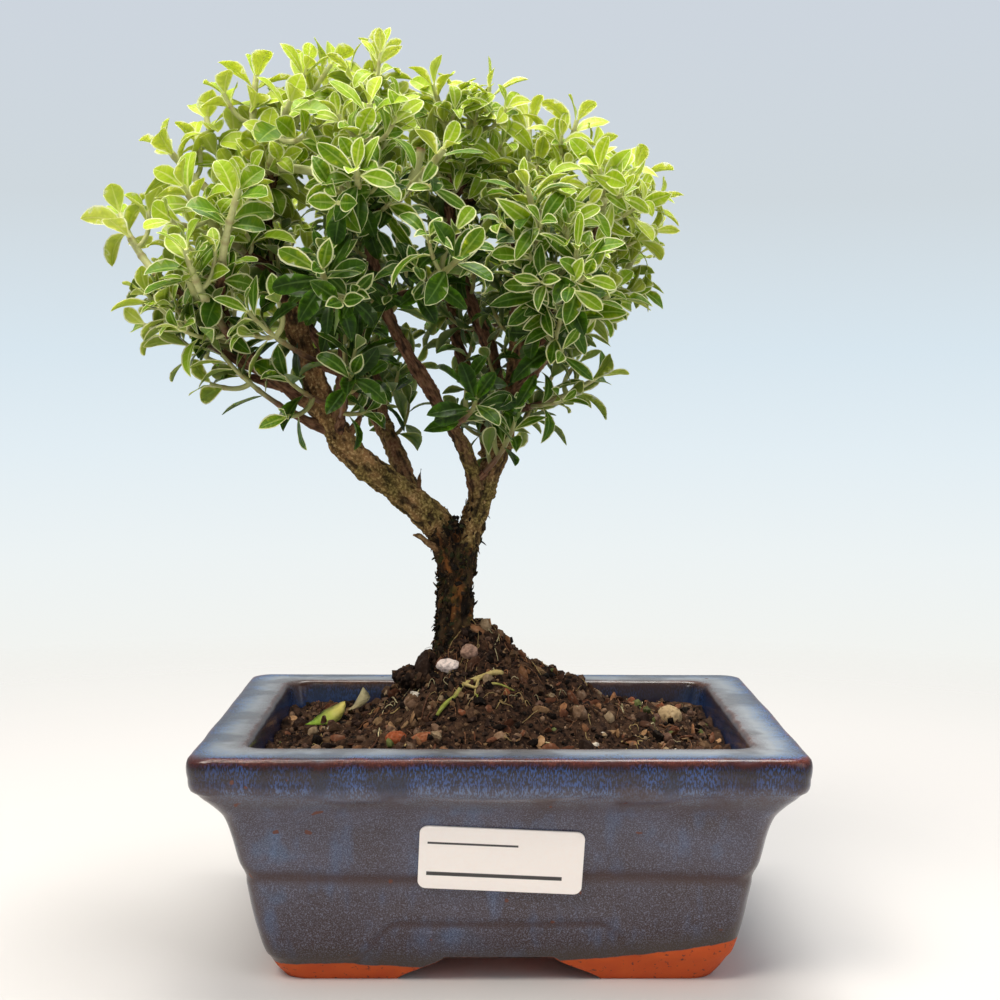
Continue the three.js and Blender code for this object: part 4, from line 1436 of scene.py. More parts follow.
SHOOT_TIPS = 1.0 * np.array([
    [-100, -5, 193], [-87, -8, 210], [-78, 0, 219], [-64, -5, 229], [-52, -32, 218], [-45, 0, 233],
    [-32, -12, 232], [-18, 0, 228], [-3, 3, 228], [20, -5, 218], [36, 1, 206], [37, 6, 184],
    [29, -12, 173], [15, -30, 166], [27, 6, 151], [-6, -27, 145], [4, -10, 139], [-54, -27, 150],
    [-71, -22, 156], [-85, -9, 161], [-90, -20, 171], [-80, -25, 198], [-63, -44, 195], [-32, -40, 216],
    [-14, -42, 205], [-34, -57, 198], [6, -44, 196], [24, -32, 202], [18, -46, 181], [-10, -55, 178],
    [-42, -56, 175], [-62, -38, 166], [-36, -34, 157], [-77, -38, 181], [8, 18, 222], [-86, 26, 194],
    [-66, 38, 206], [-46, 27, 226], [-20, 33, 223], [9, 38, 209], [30, 30, 194], [-40, 55, 189],
    [-11, 57, 190], [17, 49, 175], [-66, 46, 171], [-34, 49, 160], [5, 36, 153],
])
CROWN_MIDDLE = np.array([-30.0, 0.0, 165.0])
PRUNED = {4: (-38.7, -26, 198), 24: (-20, -29, 207), 33: (-79.5, -26, 180)}
MAIN_PAIRS = [(0.8, 24, 0.68), (3.4, 46, 0.92), (8.6, 62, 1.0)]
SIDE_PAIRS = [(0.6, 28, 0.62), (3.2, 52, 0.82)]
SPRIG_PAIRS = [(0.4, 20, 0.58), (2.2, 40, 0.8), (5.4, 58, 0.98), (10.0, 66, 1.0)]
STRONG_SHOOTS = {0, 1, 2, 3, 4, 21, 22, 23, 24, 33}  # whose green stems stand bare below their tips
LOW_CLUSTERS = {14, 15, 16, 32, 45, 46}  # shoots below the crown that are as leafy as those in it
INNER_LIMBS = {"front_middle", "back_centre", "back_right", "left_rear", "right_main"}  # leafy low down too
EASINGS = [(size, turn) for size in (1.0, 0.84, 0.7) for turn in (0, 22, -22, 44, -44)]
LEAF_LENGTH, LEAF_WIDTH, LEAF_CURL = 12.8, 5.6, 0.25
SAME_PLACE = 0.06  # how near a packed vertex must lie to be the one that a rule gives


class Vigour(Enum):
    """How a sprig's leaves grow: as a share of full size, and how far they spread."""

    OUTER = (1.0, 0.88)
    INNER = (0.88, 1.1)


PER_LEAF = ("root", "stem", "outward", "lean", "length", "width", "youth_and_light", "curl")


@dataclass
class Leaves:
    """Any number of leaves, as one row for each in every array."""

    root: Array
    stem: Array
    outward: Array
    lean: Array
    length: Array
    width: Array
    youth_and_light: Array
    curl: Array

    stations: Array = field(default_factory=lambda: np.array([0.09, 0.24, 0.4, 0.56, 0.72, 0.86, 0.955]))
    thickness: float = 0.26

    @staticmethod
    def gather(groups: list["Leaves"]) -> "Leaves":
        """Several groups as one."""
        return Leaves(*(np.concatenate([getattr(g, name) for g in groups]) for name in PER_LEAF))

    def surface(self, seed: int) -> Surface:
        """The blades, each a thin closed shell on a grid of stations along and four places round.

        The half width goes with share^foot · (1 - share)^end, so that a blade narrows to a stalk and is
        widest past its middle. Its halves rise by the fold and wave a little.

        Args:
            seed: picks each blade's outline, fold, wave and chance number.

        Returns:
            The blades with "blade" and "leaf" values.
        """
        count = len(self.root)
        rng = np.random.default_rng(seed)
        chance = rng.random(count)
        spans = ((0.1, 0.6), (1.1, 1.7), (0.55, 1.05))
        fold, foot, end = (rng.uniform(low, high, count)[:, None] for low, high in spans)
        phase = rng.uniform(0, 2 * np.pi, count)
        roll = rng.normal(0, 0.35, count)[:, None, None]
        across = np.cross(self.stem, self.outward)
        share = np.concatenate([[0.0], self.stations, [1.0]])
        angle = self.lean[:, None] + self.curl[:, None] * share**1.5
        along = self.stem[:, None] * np.cos(angle)[..., None] + self.outward[:, None] * np.sin(angle)[..., None]
        face = self.stem[:, None] * np.sin(angle)[..., None] - self.outward[:, None] * np.cos(angle)[..., None]
        middle = (self.root + 0.1 * self.outward)[:, None] + along * (self.length[:, None] * share)[..., None]
        lateral = across[:, None] * np.cos(roll) + face * np.sin(roll)
        upward = face * np.cos(roll) - across[:, None] * np.sin(roll)

        inner = share[None, 1:-1]
        widest = foot / (foot + end)
        half = inner**foot * (1 - inner) ** end / (widest**foot * (1 - widest) ** end) * self.width[:, None] / 2
        half = half[..., None]
        v = np.array([-1.0, 0.0, 1.0, 0.0])
        side = half * np.abs(v)
        wave = np.sin(9.0 * inner[..., None] + phase[:, None, None] + 2 * (v > 0))
        height = side * (fold[..., None] + 0.1 * wave) + np.array([0.0, -0.5, 0.0, 0.5]) * self.thickness
        rest = (slice(None), slice(1, -1), None)
        ring = middle[rest] + lateral[rest] * (half * v)[..., None] + upward[rest] * height[..., None]
        points = np.concatenate([ring.reshape(count, -1, 3), middle[:, [0, -1]]], axis=1)

        blade = np.zeros_like(points)
        leaf = np.zeros_like(points)
        blade[:, :-2, 0] = np.repeat(self.stations, 4)
        blade[:, -1, 0] = 1.0
        blade[:, :-2, 1] = side.reshape(count, -1)
        blade[:, :-2, 2] = (half - side).reshape(count, -1)
        leaf[..., 0] = self.youth_and_light[:, None]
        leaf[..., 1] = chance[:, None]
        leaf[:, :-2, 2] = np.tile([0.0, -1.0, 0.0, 1.0], len(self.stations))
        return repeated(points, tube_faces(len(self.stations), 4), {"blade": blade, "leaf": leaf})


def youth_and_light_at(place: Array, down: float = 0.0) -> float:
    """How young and how lit leaves are, from 0 to 1: more so high up, far out, and near the end of their stem.
    Inside the crown the value is low, which paints the shade there as old, dark greens.

    Args:
        place: where they stand.
        down: how far down their stem.

    Returns:
        How young and lit they are.
    """
    x, _, z = place
    # High and outer leaves come out young and pale, inner ones old and dark, which paints the shade inside the
    # crown.
    outer = np.linalg.norm((place - [-30.0, 0.0, 170.0]) / [66.0, 120.0, 58.0])
    rise = 0.5 * smoothstep(148, 225, z) + 0.22 * smoothstep(-38, -76, x) + 0.12 * smoothstep(4, 28, x)
    return float(np.clip(rise + 0.66 * (outer - 0.76) + 0.28 * math.exp(-down / 5), 0.0, 0.97))


def fullness(place: Array) -> float:
    """How leafy a place is: 1 high in the crown, and 0 under a floor that falls from its middle outwards."""
    floor = 176.0 - 0.42 * np.hypot(place[0] + 28.0, place[1])
    return float(smoothstep(floor - 8, floor + 16, place[2]))


def stays_clear(place: Array) -> bool:
    """Whether a place stays bare: before the left limb, in the gap at the left, or under the crown.

    The crown's underside rises from the limbs to both sides.

    Args:
        place: where something would grow.

    Returns:
        Whether it may not.
    """
    x, y, z = place
    before_limb = y < -13 and 132 < z < 180 and abs(x + 45.0 + 9.5 * np.clip((z - 136) / 38, 0, 1)) < 10.5
    in_gap = math.hypot((x + 87) / 7, (z - 195) / 7) < 1
    underside = 134 + 0.66 * max(0.0, -49 - x) + 0.42 * max(0.0, x - 5)
    return bool(before_limb or in_gap or z < underside)


@dataclass
class Sprig:
    """A green stem and where its pairs of leaves stand, tip first."""

    path: Bow
    radii: Pair
    start: float = 0.0
    joints: list[float] = field(default_factory=list)
    cut: bool = False

    def surface(self, tip_youth_and_light: float) -> Surface:
        """The stem: a tapered tube that swells at each joint.

        Args:
            tip_youth_and_light: how young and lit its end is, low inside the crown for painted shade.

        Returns:
            The stem with "blade" and "leaf" values.
        """
        length = self.path.length()
        t = np.linspace(self.start, 1, max(int(length * (1 - self.start) / 0.9), 5))
        down = (1 - t) * length
        near = np.zeros(len(t))
        for joint in self.joints:
            near = np.maximum(near, np.exp(-(((down - joint) / 0.55) ** 2)))
        radii = np.interp(t, [self.start, 1], self.radii) * (1 + 0.22 * near)
        rings = self.path.rings(t, self.path.level(), radii, 8)
        end = np.clip(1 - down / 0.9, 0, 1) if self.cut else np.zeros(len(t))
        aged = down * max(1.0, 27.0 / down[0]) if self.start > 0 else down
        blade = np.stack([near, aged, end], axis=-1)[:, None]
        return tube(rings, {"blade": blade, "leaf": np.array([tip_youth_and_light, 0.5, 0.0])})


def pair_leaves(
    path: Bow, distance: float, turn: float, lean: Array, size: Array, youth_and_light: float, curl: float,
    width: float = LEAF_WIDTH, ease: Pair = (1.0, 0.0),
) -> Leaves:
    """Two opposite leaves at a joint.

    Args:
        path: the stem.
        distance: how far the joint lies from the stem's tip.
        turn: the first leaf's turn round the stem in degrees.
        lean: each leaf's lean from the stem in degrees.
        size: each leaf's length.
        youth_and_light: how young and lit they are.
        curl: how far each turns back along its length, in radians.
        width: the width of a blade of full size.
        ease: the pair's size factor and extra turn.

    Returns:
        The pair.
    """
    t = 1 - distance / path.length()
    root, tangent = path.at(t), path.heading(t)
    normal, across = square_to(tangent, path.level())
    outward = turned(normal, across, np.radians(turn + ease[1] + np.array([0, 180])))
    two = np.ones((2, 1))
    widths = width * (0.45 + 0.55 * size / LEAF_LENGTH) * ease[0]
    ages, curls = np.full(2, youth_and_light), np.full(2, curl)
    return Leaves(two * root, two * tangent, outward, np.radians(lean), size * ease[0], widths, ages, curls)


@dataclass
class Shoot:
    """One leafy shoot of the crown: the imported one's stems and leaves again, finer, and what else it bears."""

    placement: Placement
    index: int
    spots: Array
    green_length: float = 25.0
    twig_least: float = 4.0
    side_length: float = 10.5
    side_from: float = 11.5
    side_lean: float = 48.0
    packed_radius: float = 0.95
    first_pair: Pair = (5.5, 7.0)
    pair_spacing: Pair = (3.6, 5.7)
    pair_leans: Pair = (38, 72)
    curls: Pair = (0.1, 0.8)
    sprig_lengths: Pair = (6.0, 13.5)
    stub_lengths: Pair = (3.0, 6.0)
    sprig_leans: Pair = (34, 60)

    def __post_init__(self) -> None:
        """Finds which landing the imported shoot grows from, by its first ring of vertices."""
        self.tip = SHOOT_TIPS[self.index]
        self.node = f"leafy_shoot_{self.index + 1:02d}"
        self.packed = self.placement.millimetres(self.node)
        paths = [self.bow(spot) for spot in self.landings()]
        misses = [self.miss(path) for path in paths]
        self.path = paths[int(np.argmin(misses))]
        self.length = self.path.length()
        self.start = self.stem_start(self.length)
        if min(misses) > SAME_PLACE:
            log.warning("%s: no landing fits, the best misses by %.2f mm", self.node, min(misses))

    def landings(self) -> Array:
        """The dozen spots on the wood that suit the tip best: below it, and at about the right reach.

        Returns:
            (12, 3) places.
        """
        reach = 22.0 if self.tip[2] < 152 else 34.0
        too_high = np.maximum(0, self.spots[:, 2] + 8 - self.tip[2])
        cost = np.abs(np.linalg.norm(self.spots - self.tip, axis=1) - reach) + 1.5 * too_high
        return self.spots[np.argsort(cost, kind="stable")[:12]]

    def bow(self, spot: Array) -> Bow:
        """The path from a landing to the tip, which bows away from the crown's middle and sags."""
        reach, outward = np.linalg.norm(self.tip - spot), unit((self.tip - CROWN_MIDDLE) * [1, 1, 0])
        return Bow(spot, (spot + self.tip) / 2 + outward * 0.13 * reach - UP * 0.07 * reach, self.tip)

    def miss(self, path: Bow) -> float:
        """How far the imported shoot's vertices lie from the first ring of a stem on this path."""
        ring = path.rings(self.stem_start(path.length()), path.level(), np.array([self.packed_radius]), 4)[0]
        return float(np.linalg.norm(self.packed[None] - ring[:, None], axis=-1).min(axis=1).max())

    def stem_start(self, length: float) -> float:
        """The share of a path of this length at which the green stem takes over from the twig."""
        return 1 - min(self.green_length, length - self.twig_least) / length

    def branch_off(self, fork: float, turn: float, length: float, lean: float) -> Bow:
        """A path that leaves the stem square to it and ends leaning from it by so many degrees.

        Args:
            fork: where it leaves the stem, as a share.
            turn: its turn round the stem in radians.
            length: its length.
            lean: its lean in degrees.

        Returns:
            The path.
        """
        start, tangent = self.path.at(fork)[0], self.path.heading(fork)[0]
        normal, across = square_to(tangent, self.path.level())
        outward = turned(normal, across, np.array(turn))
        angle = math.radians(lean)
        end = start + (outward * math.sin(angle) + tangent * math.cos(angle)) * length
        return Bow(start, start + outward * 0.45 * length, end)

    def packed_leaves(self, path: Bow, pairs: list[Triple], seed: int) -> tuple[list[Leaves], int]:
        """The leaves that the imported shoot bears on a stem, each in the easing whose tip is a packed vertex.

        Args:
            path: the stem.
            pairs: distance from the tip, lean and size of each pair.
            seed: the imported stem's seed.

        Returns:
            The leaves, and how many of the rule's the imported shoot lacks.
        """
        first = 90 * draw(seed, 1)
        found, missing = [], 0
        for pair, (distance, lean, size) in enumerate(pairs):
            turn = first + 90 * pair + 24 * (draw(seed, 10 + pair) - 0.5)
            for side in (0, 1):
                leans = np.full(2, lean + 12 * (draw(seed, 20 + 2 * pair + side) - 0.5))
                full = np.full(2, LEAF_LENGTH * size * (1 + 0.2 * (draw(seed, 40 + 2 * pair + side) - 0.5)))
                width = LEAF_WIDTH * self.breadth(np.random.default_rng(seed)) / 5.0
                around = turn + 180 * side
                for ease in EASINGS:
                    one = pair_leaves(path, distance, around, leans, full, 0.5, LEAF_CURL, width, ease)
                    one = Leaves(*(getattr(one, name)[:1] for name in PER_LEAF))
                    angle = one.lean + LEAF_CURL
                    tip = one.root + 0.1 * one.outward + one.length * (
                        one.stem * np.cos(angle) + one.outward * np.sin(angle)
                    )
                    if np.linalg.norm(self.packed - tip, axis=1).min() < SAME_PLACE:
                        one.youth_and_light[0] = youth_and_light_at(tip[0], distance)
                        found.append(one)
                        break
                else:
                    missing += 1
        return found, missing

    def extra_growth(self, rng: Rng) -> tuple[list[Leaves], list[Sprig]]:
        """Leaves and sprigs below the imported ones, in crossed pairs down the shoot.

        Args:
            rng: the shoot's own random numbers.

        Returns:
            The leaves and the sprigs.
        """
        leaves: list[Leaves] = []
        sprigs: list[Sprig] = []
        strong = self.index in STRONG_SHOOTS
        distance, turn = rng.uniform(*self.first_pair), rng.uniform(0, 90)
        while distance < self.length - 2.0:
            place = self.path.at(1 - distance / self.length)[0]
            full = max(fullness(place), 0.75 * (self.index in LOW_CLUSTERS))
            bare = strong and 10 < distance < 24
            youth_and_light = youth_and_light_at(place, distance)
            size = LEAF_LENGTH * rng.uniform(0.68, 1.0, 2)
            if rng.random() < (0.2 if bare else 0.35 + 0.55 * full) and not stays_clear(place):
                leans, curl = rng.uniform(*self.pair_leans, 2), rng.uniform(*self.curls)
                breadth = self.breadth(rng)
                leaves.append(pair_leaves(self.path, distance, turn, leans, size, youth_and_light, curl, breadth))
            for side in (0, 180):
                if distance > 8.0 and rng.random() < (0.25 if bare else 0.84 * full):
                    reach = rng.uniform(*(self.stub_lengths if bare else self.sprig_lengths))
                    around = math.radians(turn + side + rng.uniform(-25, 25))
                    path = self.branch_off(1 - distance / self.length, around, reach, rng.uniform(*self.sprig_leans))
                    if path.end[2] < path.start[2] - 0.12 * reach or stays_clear(path.end - 4 * UP):
                        continue
                    sprig, bearing = leafy_sprig(path, rng, youth_and_light_at(path.end), self.breadth(rng), Vigour.OUTER)
                    sprigs.append(sprig)
                    leaves += bearing
            distance += rng.uniform(*self.pair_spacing)
            turn += 90 + rng.uniform(-12, 12)
        return leaves, sprigs

    def stem_radii(self) -> Pair:
        """The green stem's radius at its foot and tip: stout on strong shoots, thin low in the crown."""
        others = (0.75, 0.5) if self.tip[2] < 172 else (0.95, 0.62)
        return (1.15, 0.8) if self.index in STRONG_SHOOTS else others

    def breadth(self, rng: Rng) -> float:
        """The width of a full-sized leaf: broad in the upper left of the crown, slender elsewhere."""
        broad = smoothstep(-10, -70, self.tip[0]) * smoothstep(170, 205, self.tip[2])
        return float(rng.uniform(3.5, 4.9) + 1.9 * broad)

    def build(self) -> int:
        """Makes the shoot's piece, leaves first and stems second.

        Returns:
            How many leaves it bears.
        """
        rng = np.random.default_rng(500 + self.index)
        turn = math.radians(90 * draw(self.index, 1) + 45 + 180 * (draw(self.index, 2) >= 0.5))
        side = self.branch_off(1 - self.side_from / self.length, turn, self.side_length, self.side_lean)
        main, lost_main = self.packed_leaves(self.path, MAIN_PAIRS, 2 * self.index + 100)
        small, lost_side = self.packed_leaves(side, SIDE_PAIRS, 2 * self.index + 101)
        more, sprigs = self.extra_growth(rng)
        sprigs.append(Sprig(self.path, self.stem_radii(), self.start, [3.4, 8.6, 14.5, 21.0]))
        sprigs.append(Sprig(side, (0.75, 0.55), 0.0, [3.2]))
        if self.index in PRUNED:
            foot, end = self.path.at(self.start + 0.06)[0], np.array(PRUNED[self.index], float)
            pull = (foot + end) / 2 - 0.25 * (end - foot) * [-1, -1, 1]
            sprigs.append(Sprig(Bow(foot, pull, end), (1.2, 1.15), 0.0, [11.0], cut=True))
        leaves = Leaves.gather([*main, *small, *more])
        youth_and_light = youth_and_light_at(self.tip)
        body = painted([leaves.surface(900 + self.index), join([sprig.surface(youth_and_light) for sprig in sprigs])])
        slot = "young_leaf" if youth_and_light > 0.5 else "old_leaf"
        name = f"foliage_{self.index + 1:02d}"
        self.placement.piece(name, body, FOLIAGE, slot, (self.node,), crease=75)
        log.info("%s: %d leaves, %d of the packed ones not found", name, len(leaves.root), lost_main + lost_side)
        return len(leaves.root)


def leafy_sprig(path: Bow, rng: Rng, youth_and_light: float, breadth: float, vigour: Vigour) -> tuple[Sprig, list[Leaves]]:
    """A short side sprig with two to four crossed pairs, smallest at its tip.

    Args:
        path: the sprig's stem.
        rng: random numbers.
        youth_and_light: how young and lit its tip is.
        breadth: the width of a full-sized leaf.
        vigour: how its leaves grow.

    Returns:
        The sprig and its leaves.
    """
    turn = rng.uniform(0, 180)
    leaves = []
    for k, (distance, lean, size) in enumerate(SPRIG_PAIRS):
        if distance > path.length() - 1.2:
            break
        scale = LEAF_LENGTH * size * rng.uniform(0.72, 1.08, 2) * vigour.value[0]
        leans = lean * vigour.value[1] + rng.uniform(-9, 9, 2)
        age, curl = youth_and_light - 0.05 * k, rng.uniform(0.1, 0.8)
        leaves.append(pair_leaves(path, distance, turn + 90 * k, leans, scale, age, curl, breadth))
    return Sprig(path, (0.62, 0.42), 0.0, [2.2, 5.4]), leaves


@dataclass
class Crown:
    """All leafy shoots, and the small tufts on old wood inside them."""

    placement: Placement
    landings_per_span: int = 3

    def __post_init__(self) -> None:
        """Plans the shoots from the landings along every branch."""
        spots = []
        for route in ROUTES.values():
            steps = (len(route) - 1) * self.landings_per_span
            spots.append(follow(route[:, :3], (np.arange(steps) + 1) / steps))
        spots = np.concatenate(spots)
        self.shoots = [Shoot(self.placement, i, spots) for i in range(len(SHOOT_TIPS))]

    def tufts(self) -> int:
        """Makes small tufts on the branches inside the crown, as one piece, painted dark for the shade there.

        Returns:
            How many leaves they bear.
        """
        rng = np.random.default_rng(77)
        leaves: list[Leaves] = []
        stems: list[Surface] = []
        for name, route in list(ROUTES.items())[1:]:
            rows = path_points(route, 1.0)
            tangents = unit(np.gradient(rows[:, :3], axis=0))
            for k in range(6, len(rows), 3):
                row, tangent = rows[k], tangents[k]
                low = 0.3 * (row[2] > 132) if name in INNER_LIMBS else 0.12 * (row[2] > 140)
                if rng.random() > low + 0.85 * fullness(row):
                    continue
                normal, across = square_to(tangent, sideways(rows[-1, :3] - rows[0, :3]))
                outward = turned(normal, across, np.array(rng.uniform(0, 2 * np.pi)))
                reach = row[3] + rng.uniform(3.5, 9.5)
                end = row[:3] + outward * reach * 0.8 + tangent * reach * 0.5 + UP * reach * 0.3
                if not stays_clear(end):
                    path = Bow(row[:3], row[:3] + outward * reach * 0.5, end)
                    # These leaves and stems get old, dark greens: painted shade inside the crown.
                    youth_and_light, breadth = 0.45 * youth_and_light_at(end), rng.uniform(3.9, 5.5)
                    sprig, bearing = leafy_sprig(path, rng, youth_and_light, breadth, Vigour.INNER)
                    stems.append(sprig.surface(0.1))
                    leaves += bearing
        foliage = Leaves.gather(leaves)
        body = painted([foliage.surface(33), join(stems)])
        self.placement.piece("inner_tufts", body, FOLIAGE, "old_leaf", crease=75)
        return len(foliage.root)

    def build(self) -> None:
        """Makes every shoot and the tufts."""
        count = sum(shoot.build() for shoot in self.shoots)
        log.info("crown: %d leaves", count + self.tufts())


# ---- soil


def soil_height(x: Array, y: Array) -> Array:
    """The soil's height: level at the walls, heaped round the trunk, steep to the left, long to the right.

    Args:
        x: places across.
        y: places along the depth.

    Returns:
        A height for each.
    """
    spread = np.where(x < -8, 22.0, 40.0)
    heap = 22 * np.exp(-(np.hypot((x + 8) / spread, y / 27) ** 2.2))
    collar = 8 * np.exp(-((np.hypot(x + 8, y) / 9) ** 2))
    clods = 0.8 * np.sin(0.31 * x + 1.3) * np.cos(0.37 * y) + 0.4 * np.sin(0.7 * x - 0.55 * y)
    return 54 + heap + collar + clods


def rough_soil(x: Array, y: Array) -> Array:
    """The soil's height with clods, crumbs and grains on it.

    Args:
        x: places across.
        y: places along the depth.

    Returns:
        A height for each.
    """
    flat = np.stack([x, y, np.zeros_like(x)], axis=-1)
    lumps = relief(flat, 7.5, 3, 4)
    crumbs = relief(flat, 1.9, 8, 2)
    edge = np.minimum(1, (55 - np.abs(x)) / 6) * np.minimum(1, (40 - np.abs(y)) / 6)
    grains = relief(flat, 0.8, 9, 1)
    pile = 2.2 * np.exp(-(((x + 3.0) / 4.2) ** 2) - ((y / 5.0) ** 2))
    fine = 0.5 * np.abs(crumbs) + 0.3 * crumbs + 0.22 * grains
    return soil_height(x, y) + 1.25 * lumps + fine + pile - 0.6 * (1 - np.clip(edge, 0, 1))


def lying(x: Array, y: Array, lift: Array | float) -> Array:
    """Places on the rough soil, lifted off it."""
    return np.stack([x, y, rough_soil(x, y) + lift], axis=-1)


def icosahedron() -> tuple[Array, Array]:
    """The twelve points (0, ±1, ±golden ratio) and their cyclic shifts, and the triples that lie 2 apart.

    Returns:
        Its points at length one, and its faces.
    """
    golden = (1 + math.sqrt(5)) / 2
    points = np.array([np.roll([0, a, b * golden], k) for k in AXES for a in (1, -1) for b in (1, -1)])
    near = [[abs(np.linalg.norm(p - q) - 2) < 0.01 for p in points] for q in points]
    triples = [t for t in combinations(range(12), 3) if all(near[a][b] for a, b in combinations(t, 2))]
    faces = np.array([t if np.linalg.det(points[list(t)]) > 0 else t[::-1] for t in triples])
    return unit(points), faces


def ball(rounds: int) -> tuple[Array, Array]:
    """A unit sphere of triangles: an icosahedron whose faces are split in four, rounds times.

    Args:
        rounds: how often the faces are split.

    Returns:
        Points and faces.
    """
    points, faces = icosahedron()
    for _ in range(rounds):
        edges = np.sort(np.concatenate([faces[:, [0, 1]], faces[:, [1, 2]], faces[:, [2, 0]]]), axis=1)
        unique, inverse = np.unique(edges, axis=0, return_inverse=True)
        middles = inverse.reshape(3, -1).T + len(points)
        points = np.vstack([points, unit(points[unique].mean(axis=1))])
        a, b, c = faces.T
        ab, bc, ca = middles.T
        faces = np.concatenate([np.stack(f, axis=-1) for f in ((a, ab, ca), (b, bc, ab), (c, ca, bc), (ab, bc, ca))])
    return points, faces


def lumps(places: Array, radii: Array, tints: Array, rounds: int, seed: int, rough: float = 0.22) -> Surface:
    """Irregular lumps: spheres stretched, dented and turned at random, by quaternions.

    Args:
        places: (n, 3) their middles.
        radii: (n, 3) their three radii.
        tints: (n, 3) linear colours.
        rounds: how finely each is split.
        seed: picks turns and dents.
        rough: how deep the dents are, as a share.

    Returns:
        The lumps with "tint" values.
    """
    rng = np.random.default_rng(seed)
    points, faces = ball(rounds)
    turn = unit(rng.normal(size=(len(places), 1, 4)))
    dents = relief(points[None] * 1.7 + rng.uniform(0, 500, (len(places), 1, 3)), 1.0, seed, 2)
    body = points[None] * radii[:, None] * (1 + rough * dents)[..., None]
    swing = 2 * np.cross(turn[..., 1:], body)
    body = body + turn[..., :1] * swing + np.cross(turn[..., 1:], swing) + places[:, None]
    return repeated(body, faces, {"tint": np.broadcast_to(tints[:, None], body.shape)})


def tints_of(weights: dict[str, float], count: int, rng: Rng) -> Array:
    """Linear colours picked from a palette by weight, each a little lighter or darker.

    Args:
        weights: how often each sRGB colour comes.
        count: how many are wanted.
        rng: random numbers.

    Returns:
        (count, 3) colours.
    """
    palette = np.array([tint_of(colour) for colour in weights])
    chances = np.array([*weights.values()]) / sum(weights.values())
    return palette[rng.choice(len(palette), count, p=chances)] * rng.uniform(0.7, 1.3, (count, 1))


# The name, slot, place, radii, colour and roughness of each stone and husk.
STONES = [
    ("stone_tan", "tan_stone", (47, 4), (3.4, 3.2, 3.1), "#b59a72", 0.13),
    ("stone_white", "white_stone", (-13.5, -11), (3.0, 2.4, 1.9), "#f0dccf", 0.2),
    ("stone_buff", "tan_stone", (-7.8, -9.5), (2.3, 2.0, 2.0), "#a98672", 0.2),
    ("husk_left", "husk", (-26.3, -28), (2.9, 2.2, 2.0), "#9a5030", 0.09),
    ("husk_right", "husk", (-18.6, -31.5), (3.5, 2.2, 1.9), "#96593a", 0.09),
]
SHED_LEAVES = [
    ("shed_leaf_yellow", (-53, 4), 25, 13, "#8fae3c", "#d8c66a"),
    ("shed_leaf_pale", (-42, 14), 70, 11.5, "#a99a70", "#c3b68b"),
]


